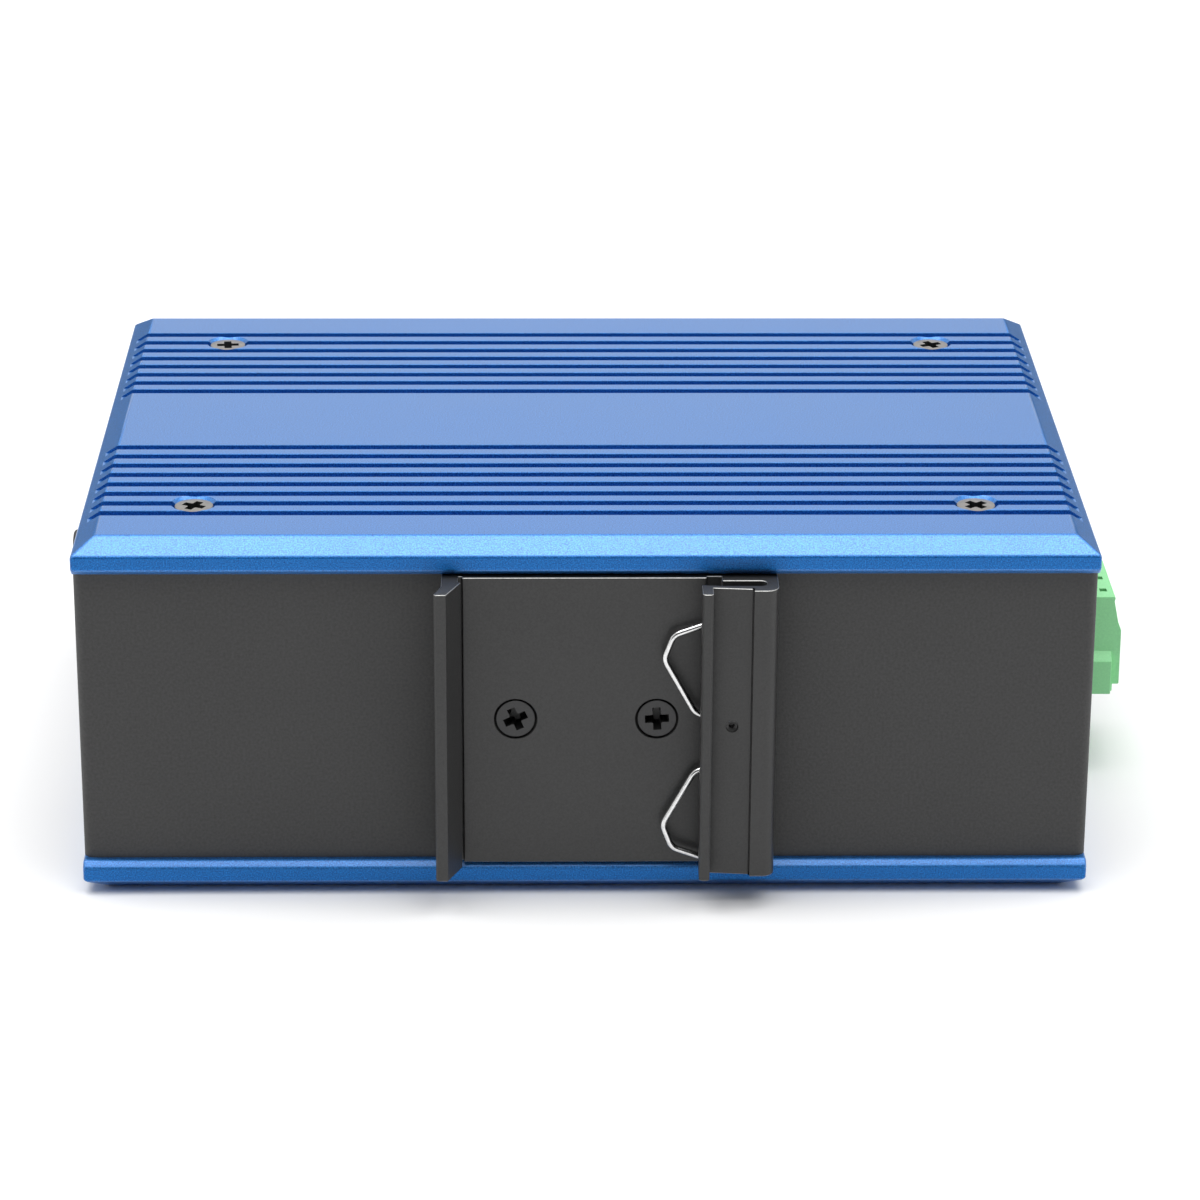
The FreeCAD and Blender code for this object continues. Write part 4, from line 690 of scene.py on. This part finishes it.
    def rimmed(self, axis: Axis, width: float, segments: int) -> "Solid":
        """Round the rims of a drawn-out outline's two ends.

        Args:
            axis: The axis that it was drawn out along.
            width: The rounding's width.
            segments: Flats in the rounding.

        Returns:
            The solid itself.
        """
        along = "XYZ".index(axis.name)
        ends = [e for e in self.mesh.edges if abs(e.verts[0].co[along] - e.verts[1].co[along]) < 1e-6]
        bmesh.ops.bevel(self.mesh, geom=ends, offset=width, segments=segments, profile=0.5, affect="EDGES")
        return self

    def joined(self, *others: "Solid") -> "Solid":
        """Put other solids beside this one in the same mesh.

        Args:
            others: The other solids.

        Returns:
            The solid itself.
        """
        for other in others:
            mesh = bpy.data.meshes.new("joined")
            other.mesh.to_mesh(mesh)
            self.mesh.from_mesh(mesh)
            bpy.data.meshes.remove(mesh)
        return self

    def _combined(self, other: "Solid", operation: str) -> "Solid":
        """Work another solid into this one.

        Args:
            other: The other solid.
            operation: The boolean modifier's operation.

        Returns:
            The solid itself.
        """
        pair = []
        for solid in (self, other):
            mesh = bpy.data.meshes.new("work")
            solid.mesh.to_mesh(mesh)
            pair.append(bpy.data.objects.new("work", mesh))
            bpy.context.scene.collection.objects.link(pair[-1])
        base, tool = pair
        step = base.modifiers.new("step", "BOOLEAN")
        step.object = tool
        step.operation = operation
        step.solver = "EXACT"
        graph = bpy.context.evaluated_depsgraph_get()
        result = bpy.data.meshes.new_from_object(base.evaluated_get(graph))
        self.mesh.clear()
        self.mesh.from_mesh(result)
        bpy.data.meshes.remove(result)
        for item in pair:
            mesh = item.data
            bpy.data.objects.remove(item)
            bpy.data.meshes.remove(mesh)
        return self

    def cut(self, *tools: "Solid") -> "Solid":
        """Take other solids away from this one.

        Args:
            tools: The solids to take away.

        Returns:
            The solid itself.
        """
        for tool in tools:
            self._combined(tool, "DIFFERENCE")
        return self

    def fused(self, *others: "Solid") -> "Solid":
        """Grow this solid together with others.

        Args:
            others: The other solids.

        Returns:
            The solid itself.
        """
        for other in others:
            self._combined(other, "UNION")
        return self


class Shop:
    """Turns solids into finished pieces of the scene."""

    def __init__(self, paints: Paints) -> None:
        """Keep the finishes."""
        self.paints = paints

    def piece(
        self,
        name: str,
        solid: Solid,
        slot: str,
        body: Body,
        stands_for: Sequence[str],
        second: Optional[Finish] = None,
        where: Optional[Callable[[bmesh.types.BMFace], bool]] = None,
        crease: float = 32.0,
    ) -> bpy.types.Object:
        """Make one finished piece.

        Args:
            name: The piece's name.
            solid: Its shape.
            slot: The record's material slot.
            body: The body that it moves with.
            stands_for: The solid nodes that it stands for.
            second: A second finish, if the piece has one.
            where: Picks the faces that have the second finish, where the solid isn't marked already.
            crease: Edges sharper than this many degrees stay crisp.

        Returns:
            The piece.
        """
        if where is not None:
            for face in solid.mesh.faces:
                face.material_index = 1 if where(face) else 0
        mesh = bpy.data.meshes.new(name)
        solid.mesh.to_mesh(mesh)
        mesh.transform(Matrix.Scale(MM, 4))
        mesh.materials.append(self.paints.of(slot))
        if second is not None:
            mesh.materials.append(self.paints.extra(second))
        mesh.shade_smooth()
        mesh.set_sharp_from_angle(angle=math.radians(crease))
        item = bpy.data.objects.new(name, mesh)
        bpy.context.scene.collection.objects.link(item)
        normals = item.modifiers.new("even_shading", "WEIGHTED_NORMAL")
        normals.keep_sharp = True
        normals.weight = 80
        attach(item, body.value)
        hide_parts(*stands_for)
        LOG.info("%s: %d faces", name, len(mesh.polygons))
        return item


# ----------------------------------------------------------------- fasteners


@dataclass(frozen=True)
class CrossRecess:
    """A cross recess that narrows as it goes down, sizes in millimetres."""

    span: float = 3.4
    arm: float = 1.15
    depth: float = 2.2
    middle_shares: Point2 = (0.85, 0.9)
    floor_shares: Point2 = (0.6, 0.7)
    flute: float = 1.25

    def tool(self, top: float) -> Solid:
        """What the recess takes away.

        Args:
            top: The head's highest level.

        Returns:
            The solid to cut away.
        """
        tip, side = self.span / 2, self.arm / 2
        low = top - self.depth
        return Solid.stack([
            self._cross(tip, side, top + 1),
            self._cross(tip, side, top),
            self._cross(self.middle_shares[0] * tip, self.middle_shares[1] * side, low + 0.5 * self.depth),
            self._cross(self.floor_shares[0] * tip, self.floor_shares[1] * side, low),
        ])

    def cut_into(self, screw: Solid, top: float) -> Solid:
        """Cut the recess into a screw and mark its walls, which get a near-black painted shade.

        Args:
            screw: The screw, standing on the Z axis.
            top: The head's highest level.

        Returns:
            The screw.
        """
        screw.cut(self.tool(top))
        # Faces inside the recess get the near-black painted shade.
        for face in screw.mesh.faces:
            middle = face.calc_center_median()
            inside = math.hypot(middle.x, middle.y) < self.span / 2 + 2 * TOUCH
            sunk = 2 * TOUCH < top - middle.z < self.depth + TOUCH
            face.material_index = 1 if inside and sunk else 0
        return screw

    def _cross(self, reach: float, side: float, level: float) -> List[Point3]:
        """One level of the cross.

        Args:
            reach: From the middle to an arm's end.
            side: Half an arm's width.
            level: The height.

        Returns:
            The outline, with the inner corners cut back as a driver's flutes need.
        """
        flute = self.flute * side
        quarter = [(reach, -side), (reach, side), (flute, side), (side, flute)]
        points: List[Point3] = []
        for turn in range(4):
            for x, y in quarter:
                for _ in range(turn):
                    x, y = -y, x
                points.append((x, y, level))
        return points


@dataclass(frozen=True)
class PanScrew:
    """A pan-head screw: the head stands on zero and the thread points down."""

    head: float = 5.5
    height: float = 2.1
    round: float = 0.6
    under: float = 0.05
    shank: float = 2.9
    lead: float = 0.5
    reach: float = 4.4

    def build(self) -> Solid:
        """The screw.

        Returns:
            The screw's solid.
        """
        edge = self.head / 2
        crown = [
            (edge - self.round * (1 - math.cos(a)), self.height - self.round * (1 - math.sin(a)))
            for a in [math.radians(18 * i) for i in range(6)]
        ]
        thread = self.shank / 2
        body = Solid.lathe([
            (0, -self.reach), (thread - self.lead, -self.reach), (thread, self.lead - self.reach), (thread, 0.0),
            (edge - self.under, 0.0), (edge, self.under), *crown, (0, self.height),
        ])
        return CrossRecess().cut_into(body, self.height)


@dataclass(frozen=True)
class SunkScrew:
    """A countersunk screw: the head's flat face lies on zero."""

    head: float = 5.5
    rim: float = 0.1
    round: float = 0.06
    shank: float = 2.9
    lead: float = 0.5
    reach: float = 6.0

    def build(self) -> Solid:
        """The screw.

        Returns:
            The screw's solid.
        """
        edge = self.head / 2
        thread = self.shank / 2
        neck = -self.rim - (edge - thread)
        body = Solid.lathe([
            (0, -self.reach), (thread - self.lead, -self.reach), (thread, self.lead - self.reach), (thread, neck),
            (edge, -self.rim), (edge, -self.round), (edge - self.round, 0.0), (0, 0.0),
        ], FINE_FLATS)
        return CrossRecess().cut_into(body, 0.0)


@dataclass(frozen=True)
class Seat:
    """Where one screw sits, and how its recess happens to be turned."""

    at: Point3
    facing: Facing
    twist: float


def screw_set(screw: Solid, seats: Sequence[Seat]) -> Solid:
    """Put one kind of screw into all its places."""
    placed = [screw.copy().placed(seat.at, seat.facing, seat.twist) for seat in seats]
    return placed[0].joined(*placed[1:])


# -------------------------------------------------------------- side covers


@dataclass(frozen=True)
class CoverSize:
    """Sizes of a ribbed side cover, in millimetres."""

    length: float = 144.0
    span: float = 106.0
    thickness: float = 5.1
    bevel_run: float = 3.2
    bevel_drop: float = 2.1
    inner_chamfer: float = 0.9
    grooves: int = 8
    groove_pitch: float = 4.0
    groove_width: float = 1.75
    groove_depth: float = 1.2
    land: float = 8.0
    screw_x: float = 55.8
    sink_mouth: float = 6.5
    screw_hole: float = 3.4
    soft: float = 0.34
    rim: float = 0.16
    top: float = 54.0
    head_sink: float = 0.35
    screw_reach: float = 8.2

    @property
    def first_groove(self) -> float:
        """Near side of the first groove."""
        return -self.span / 2 + self.bevel_run + self.land

    @property
    def screw_y(self) -> float:
        """Distance of the screws from the middle."""
        return -(self.first_groove + self.groove_pitch + self.groove_width / 2)


class Covers:
    """The two ribbed aluminium covers and the screws that hold them."""

    # How each screw's recess happens to be turned, in degrees.
    TWISTS = {"lower": (12.0, 57.0, 31.0, 74.0), "upper": (62.0, 40.0, 25.0, 5.0)}
    CORNERS = ((-1, -1), (1, -1), (1, 1), (-1, 1))

    def __init__(self, size: CoverSize, shop: Shop) -> None:
        """Keep the sizes and the shop."""
        self.size = size
        self.shop = shop

    def build(self) -> None:
        """Both covers and their screws."""
        size = self.size
        over = Matrix.Translation((0, 0, size.top)) @ Matrix.Rotation(math.pi, 4, "X")
        cover = self._cover()
        for name, solid in (("lower", cover.copy()), ("upper", cover.turned(over))):
            # The upright edges get the darker blue copy, a painted shade.
            self.shop.piece(
                "ribbed_cover_" + name, solid, "blue_aluminium", Body.SWITCH, [name + "_side_cover"],
                second=BLUE_PAINTED_SHADE, where=self._is_upright,
            )
        screw = SunkScrew(reach=size.screw_reach).build()
        for name, level, facing in (
            ("lower", size.head_sink, Facing.DOWN),
            ("upper", size.top - size.head_sink, Facing.UP),
        ):
            seats = [
                Seat((i * size.screw_x, j * size.screw_y, level), facing, twist)
                for (i, j), twist in zip(self.CORNERS, self.TWISTS[name])
            ]
            # The recess walls get a near-black painted shade.
            self.shop.piece(
                "sunk_screws_" + name, screw_set(screw, seats), "plated_steel", Body.SWITCH,
                [name + "_cover_screws"], second=RECESS_PAINTED_SHADE,
            )

    def _cover(self) -> Solid:
        """One cover, its outer face at zero and its inner face up.

        Returns:
            The cover.
        """
        size = self.size
        half = (size.length / 2, size.span / 2)
        corners: List[Point3] = []
        for i in (-1, 1):
            for j in (-1, 1):
                x, y = i * half[0], j * half[1]
                corners += [
                    (x - i * size.bevel_run, y - j * size.bevel_run, 0.0),
                    (x, y, size.bevel_drop),
                    (x, y, size.thickness - size.inner_chamfer),
                    (x, y - j * size.inner_chamfer, size.thickness),
                ]
        plate = Solid.hull(corners).softened(size.soft, 3)
        for index in range(size.grooves):
            near = size.first_groove + index * size.groove_pitch
            for a, b in ((near, near + size.groove_width), (-near - size.groove_width, -near)):
                plate.cut(self._groove(a, b))
        for i in (-1, 1):
            for j in (-1, 1):
                plate.cut(self._sink().placed((i * size.screw_x, j * size.screw_y, 0)))
        return plate

    def _is_upright(self, face: bmesh.types.BMFace) -> bool:
        """Whether a face is on the cover's upright edge, which gets the darker blue of painted shade.

        Args:
            face: The face.

        Returns:
            True for the edge.
        """
        middle = face.calc_center_median()
        over = max(abs(middle.x) - self.size.length / 2, abs(middle.y) - self.size.span / 2)
        return over > -3 * TOUCH and abs(face.normal.z) < 0.3

    def _groove(self, a: float, b: float) -> Solid:
        """What one cooling groove takes away.

        Args:
            a: Its near side along Y.
            b: Its far side along Y.

        Returns:
            The solid to cut away, a little flared at the rim.
        """
        rim, deep = self.size.rim, self.size.groove_depth
        bend = 0.3 * rim
        outline = [
            (a - rim, -1), (a - rim, 0), (a - bend, bend), (a, rim), (a, deep),
            (b, deep), (b, rim), (b + bend, bend), (b + rim, 0), (b + rim, -1),
        ]
        reach = self.size.length / 2 + 2
        return Solid.prism(outline, -reach, reach, Axis.X)

    def _sink(self) -> Solid:
        """What one countersunk hole takes away.

        Returns:
            The solid to cut away.
        """
        hole = self.size.screw_hole / 2
        mouth = self.size.sink_mouth / 2
        rim = self.size.rim / 2
        return Solid.lathe([
            (0, -1), (mouth + rim, -1), (mouth + rim, 0), (mouth - rim, rim * 1.6), (hole, mouth - hole),
            (hole, self.size.thickness + 1), (0, self.size.thickness + 1),
        ], FINE_FLATS)


# --------------------------------------------------------------- rail clip


@dataclass(frozen=True)
class ClipSize:
    """Sizes of the extruded rail clip, in millimetres."""

    face: float = -53.2
    plate: float = 2.0
    low: float = 5.2
    high: float = 48.8
    left: float = -20.3
    right: float = 26.7
    rise: float = 6.6
    lean: float = 1.0
    tip: float = 1.7
    rail_left: float = -18.0
    bite: float = 0.4
    throat: float = 1.8
    relief: float = 0.6
    nose_left: float = 16.0
    nose_right: float = 17.5
    nose_throat: float = 2.8
    slot_start: float = 18.9
    slot_end: float = 25.1
    slot_floor: float = 1.1
    slot_roof: float = 3.1
    wall_low: float = 3.9
    wall_high: float = 4.4
    step: float = 23.2
    score: float = 0.16
    score_depth: float = 0.3
    edge_face: float = 5.1
    edge_radius: float = 2.4
    corner: float = 0.3
    soft: float = 0.15
    elbow: float = 1.5
    slot_radius: float = 0.9
    back_radii: Point2 = (0.2, 0.65)
    screw_x: float = 10.0
    screw_z: float = 27.4
    screw_hole: float = 3.4
    sink_mouth: float = 6.1
    sink_wall: float = 0.45
    screw_reach: float = 6.0
    screw_proud: float = 0.1
    stake: Point2 = (20.4, 27.95)
    stake_sink: float = 0.15
    cut_edge: float = 0.08


@dataclass(frozen=True)
class SpringSize:
    """Corners of the wire spring's upper half, from its middle."""

    wire: float = 0.9
    bend: float = 2.0
    middle: float = 24.5
    tail: Point2 = (20.9, 19.4)
    shoulder: Point2 = (12.2, 16.3)
    hump: Point2 = (10.85, 12.7)
    neck: Point2 = (15.3, 4.6)
    back: Point2 = (21.5, 2.4)


class RailClip:
    """The aluminium clip, its two countersunk screws and its wire spring."""

    # Radius and height of the punched stake that holds the wire, from its floor up.
    STAKE = ((0, -0.95), (0.3, -0.75), (0.42, -0.3), (0.78, -0.12), (0.98, 0.3), (1.0, 1.6), (0, 1.6))

    def __init__(self, size: ClipSize, spring: SpringSize, shop: Shop) -> None:
        """Keep the sizes and the shop.

        Args:
            size: The clip's sizes.
            spring: The spring's sizes.
            shop: Makes finished pieces.
        """
        self.size = size
        self.spring = spring
        self.shop = shop

    def build(self) -> None:
        """The clip with its screws and its spring."""
        size = self.size
        # The rims of the clip's ends get a bright painted highlight.
        self.shop.piece(
            "rail_clip", self._clip(), "grey_aluminium", Body.SWITCH, ["din_rail_clip"],
            second=RIM_PAINTED_HIGHLIGHT, where=self._is_painted_highlight_rim,
        )
        seats = [
            Seat((side * size.screw_x, size.face + size.screw_proud, size.screw_z), Facing.REAR, twist)
            for side, twist in ((-1, 24.0), (1, 3.0))
        ]
        screws = screw_set(SunkScrew(reach=size.screw_reach).build(), seats)
        # The recess walls get a near-black painted shade.
        self.shop.piece(
            "clip_screws_black", screws, "black_steel", Body.SWITCH, ["clip_screws"], second=RECESS_PAINTED_SHADE,
        )
        self.shop.piece("wire_spring", self._wire(), "spring_steel", Body.SWITCH, ["rail_spring"], crease=60.0)

    def _outline(self) -> List[Tuple[float, float, float]]:
        """The clip's section.

        Returns:
            Place along X, rise over the plate's face and radius of every corner.
        """
        s = self.size
        tip = s.left - s.lean
        ledge = (s.nose_left + s.nose_right) / 2
        soft = s.soft
        return [
            (s.left, -s.plate, s.back_radii[0]),
            (s.left, s.rise / 2, s.elbow),
            (tip, s.rise - s.corner, soft),
            (tip + s.corner, s.rise, soft),
            (tip + s.tip, s.rise, soft),
            (s.rail_left + s.bite, s.throat, soft),
            (s.rail_left, s.throat - s.bite, soft),
            (s.rail_left, -s.relief, soft),
            (s.rail_left + s.relief, -s.relief, soft),
            (s.rail_left + s.relief, 0, soft),
            (ledge, 0, soft),
            (ledge, -s.relief, soft),
            (s.slot_start, -s.relief, soft),
            (s.slot_start, s.slot_floor, soft),
            (s.slot_end, s.slot_floor, s.slot_radius),
            (s.slot_end, s.slot_roof, s.slot_radius),
            (s.slot_start, s.slot_roof, soft),
            (s.nose_left, s.nose_throat, soft),
            (s.nose_left, s.rise - s.corner, soft),
            (s.nose_left + s.corner, s.rise, soft),
            (s.nose_right - s.corner, s.rise, soft),
            (s.nose_right, s.rise - s.corner, soft),
            (s.nose_right, s.wall_low, soft),
            (s.step - s.score, s.wall_high, soft / 3),
            (s.step - s.score, s.wall_high - s.score_depth, 0.0),
            (s.step, s.wall_high - s.score_depth, 0.0),
            (s.step, s.edge_face, s.cut_edge),
            (s.right, s.edge_face, s.edge_radius),
            (s.right, -s.plate, s.back_radii[1]),
        ]

    def _clip(self) -> Solid:
        """The clip's solid.

        Returns:
            The clip.
        """
        s = self.size
        section = [(x, s.face - rise) for x, rise in rounded(self._outline(), 5)]
        clip = Solid.prism(section, s.low, s.high, Axis.Z).rimmed(Axis.Z, s.cut_edge, 1)
        hole, mouth = s.screw_hole / 2, s.sink_mouth / 2
        sink = Solid.lathe([
            (0, -s.plate - 1), (hole, -s.plate - 1), (hole, hole - mouth - s.sink_wall), (mouth, -s.sink_wall),
            (mouth, -0.06), (mouth + s.cut_edge, 0), (mouth + s.cut_edge, 1), (0, 1),
        ], FINE_FLATS)
        for side in (-1, 1):
            clip.cut(sink.copy().placed((side * s.screw_x, s.face, s.screw_z), Facing.REAR))
        stake = Solid.lathe(self.STAKE, FINE_FLATS // 2)
        level = s.face - s.wall_low - s.stake_sink
        return clip.cut(stake.placed((s.stake[0], level, s.stake[1]), Facing.REAR))

    def _is_painted_highlight_rim(self, face: bmesh.types.BMFace) -> bool:
        """Whether a face is on the rounded rim of the clip's sawn ends, which gets the painted highlight.

        Args:
            face: The face.

        Returns:
            True for the rim.
        """
        height = face.calc_center_median().z
        near = min(abs(height - self.size.low), abs(height - self.size.high)) < self.size.cut_edge
        return near and 0.3 < abs(face.normal.z) < 0.95

    def _wire(self) -> Solid:
        """The spring: one wire drawn along its bent path.

        Returns:
            The wire.
        """
        s = self.spring
        half = (s.tail, s.shoulder, s.hump, s.neck, s.back)
        corners = [(x, s.middle + rise, s.bend) for x, rise in half]
        corners += [(x, s.middle - rise, s.bend) for x, rise in reversed(half)]
        level = self.size.face - self.size.slot_floor - s.wire / 2
        path = rounded(corners, 10, closed=False)
        curve = bpy.data.curves.new("wire_path", "CURVE")
        curve.dimensions = "3D"
        curve.bevel_depth = s.wire / 2
        curve.bevel_resolution = 6
        curve.use_fill_caps = True
        line = curve.splines.new("POLY")
        line.points.add(len(path) - 1)
        for point, (x, z) in zip(line.points, path):
            point.co = (x, level, z, 1.0)
        item = bpy.data.objects.new("wire_path", curve)
        bpy.context.scene.collection.objects.link(item)
        graph = bpy.context.evaluated_depsgraph_get()
        mesh = bpy.data.meshes.new_from_object(item.evaluated_get(graph))
        wire = bmesh.new()
        wire.from_mesh(mesh)
        bmesh.ops.remove_doubles(wire, verts=wire.verts[:], dist=1e-4)
        bpy.data.objects.remove(item)
        bpy.data.curves.remove(curve)
        bpy.data.meshes.remove(mesh)
        return Solid(wire)


# -------------------------------------------------------------- power plug


@dataclass(frozen=True)
class PlugSize:
    """Sizes of the pull-off power plug, in millimetres."""

    case_end: float = 71.95
    proud: float = 10.0
    low: float = 12.6
    tall: float = 15.5
    setback: float = 1.0
    lip: float = 0.2
    lip_tall: float = 0.8
    brow_tall: float = 5.5
    brow_break: float = 1.3
    foot: float = 1.2
    half_width: float = 8.0
    lug: float = 1.3
    lug_tall: float = 5.4
    lug_reach: float = 8.6
    tongue_tall: float = 8.4
    tongue_reach: float = 8.4
    pull_gap: float = 0.3
    pole_pitch: float = 5.08
    cage_half: Point2 = (1.9, 3.1)
    cage_outside: float = 6.3
    wire_mouth: float = 3.4
    driver_bore: float = 3.8
    clamp_x: float = 3.9
    test_slot: Point2 = (1.1, 1.2)
    test_slot_x: float = 7.3
    soft: float = 0.2
    rim: float = 0.15


class PowerPlug:
    """The green three-pole plug that pulls off the switch's end."""

    def __init__(self, size: PlugSize, shop: Shop) -> None:
        """Keep the sizes and the shop."""
        self.size = size
        self.shop = shop

    def build(self) -> None:
        """The plug's moulding."""
        self.shop.piece("plug_moulding", self._moulding(), "green_plastic", Body.PLUG, ["power_plug"])

    def _moulding(self) -> Solid:
        """The moulded body with its openings.

        Returns:
            The moulding.
        """
        s = self.size
        outer = s.case_end + s.proud
        top = s.low + s.tall
        level = s.low + s.tongue_tall / 2
        inner = s.case_end - s.tongue_reach
        face = s.case_end + s.pull_gap
        cage_end = s.case_end + s.cage_outside
        soft = s.soft
        side = rounded([
            (inner, s.low, soft),
            (outer - s.setback, s.low, soft),
            (outer - s.setback, s.low + s.foot, 0.1),
            (outer, s.low + s.foot, soft),
            (outer, top - s.brow_tall, 0.3),
            (outer - s.setback / 2, top - s.brow_tall + s.brow_break, 0.5),
            (outer - s.setback - s.lip, top - s.lip_tall, 0.15),
            (outer - s.setback, top, 0.35),
            (face, top, soft),
            (face, s.low + s.tongue_tall, 0.1),
            (inner, s.low + s.tongue_tall, soft),
        ], 3)
        block = Solid.prism(side, -s.half_width, s.half_width, Axis.Y).rimmed(Axis.Y, s.rim, 2)
        for j in (-1, 1):
            block.fused(self._lug(j, face))
        wide, tall = s.cage_half
        for index in (-1, 0, 1):
            y = index * s.pole_pitch
            block.cut(
                Solid.box((inner - 1, y - wide, level - tall), (cage_end, y + wide, level + tall)),
                self._bore(s.wire_mouth, outer - cage_end + 1).placed((outer, y, level), Facing.RIGHT),
                self._bore(s.driver_bore, top - level).placed((s.case_end + s.clamp_x, y, top)),
                self._test_slot(s.case_end + s.test_slot_x, y, top),
            )
        return block

    def _lug(self, side: int, face: float) -> Solid:
        """One guide lug with its sloping shoulder.

        Args:
            side: Minus one for the rear, one for the front.
            face: Where the lug begins along X.

        Returns:
            The lug, reaching a little into the block.
        """
        s = self.size
        buried = 0.5
        root = s.half_width - buried
        tip = s.half_width + s.lug
        foot = s.low + 0.02
        rim = s.low + s.lug_tall
        outline = rounded([
            (side * root, foot, 0), (side * tip, foot, 0.25),
            (side * tip, rim, 0.3), (side * root, rim + s.lug + buried, 0),
        ], 3)
        return Solid.prism(outline, face, s.case_end + s.lug_reach, Axis.X).rimmed(Axis.X, s.rim, 2)

    def _bore(self, width: float, depth: float) -> Solid:
        """What a round opening takes away, its mouth at zero and facing up.

        Args:
            width: The opening's diameter.
            depth: The opening's depth.

        Returns:
            The solid to cut away, with a small lead-in.
        """
        radius, lead, lip = width / 2, 0.25, 0.08
        return Solid.lathe([
            (0, -depth), (radius, -depth), (radius, -lead), (radius + lip, -lip), (radius + lead, 0.0),
            (radius + lead, 0.6), (0, 0.6),
        ])

    def _test_slot(self, x: float, y: float, top: float) -> Solid:
        """What a test probe's slot takes away."""
        a, b = self.size.test_slot[0] / 2, self.size.test_slot[1] / 2
        return Solid.box((x - a, y - b, top - self.size.tall / 4), (x + a, y + b, top + 1))


# ------------------------------------------------------------- end fasteners


@dataclass(frozen=True)
class EndScrewSize:
    """Places of the screws on the two ends, in millimetres."""

    case_end: float = 71.95
    panel_row: float = 45.2
    panel_levels: Point2 = (15.1, 38.9)
    panel_twists: Point2 = (20.0, 65.0)
    panel_reach: float = 4.6
    washer: float = 0.5
    earth_row: float = -24.0
    earth_level: float = 42.3
    earth_twist: float = 35.0
    earth_reach: float = 4.4


class EndScrews:
    """Pan-head screws on the two ends: the panel's four and the earth screw."""

    def __init__(self, size: EndScrewSize, shop: Shop) -> None:
        """Keep the sizes and the shop."""
        self.size = size
        self.shop = shop

    def build(self) -> None:
        """The screws on both ends."""
        s = self.size
        seats = []
        for level, twist in zip(s.panel_levels, s.panel_twists):
            seats.append(Seat((s.case_end, s.panel_row, level), Facing.RIGHT, twist))
            seats.append(Seat((-s.case_end, s.panel_row, level), Facing.LEFT, 90.0 - twist))
        screws = screw_set(PanScrew(reach=s.panel_reach).build(), seats)
        earth_seat = Seat((-s.case_end - s.washer, s.earth_row, s.earth_level), Facing.LEFT, s.earth_twist)
        earth = screw_set(PanScrew(reach=s.earth_reach).build(), [earth_seat])
        for name, solid, node in (
            ("panel_screws_black", screws, "front_panel_screws"),
            ("earth_screw_black", earth, "earth_screw"),
        ):
            # The recess walls get a near-black painted shade.
            self.shop.piece(name, solid, "black_steel", Body.SWITCH, [node], second=RECESS_PAINTED_SHADE)


def dress_frame(paints: Paints) -> None:
    """Give every carried-over CAD node its material.

    Args:
        paints: The finishes.
    """
    for entry in frame["record"]["subparts"]:
        node = frame["nodes"][entry["node"]]
        material = paints.of(entry["material_slot"])
        if node.data.materials:
            for index in range(len(node.data.materials)):
                node.data.materials[index] = material
        else:
            node.data.materials.append(material)
    LOG.info("dressed %d carried-over pieces", len(frame["nodes"]))


def main() -> None:
    """Build every part of the scene in order."""
    logging.basicConfig(level=logging.INFO)
    bpy.context.scene.view_settings.view_transform = "Standard"
    paints = Paints()
    shop = Shop(paints)
    dress_frame(paints)
    Covers(CoverSize(), shop).build()
    RailClip(ClipSize(), SpringSize(), shop).build()
    PowerPlug(PlugSize(), shop).build()
    EndScrews(EndScrewSize(), shop).build()
    Studio().build()


if __name__ == "__main__":
    main()
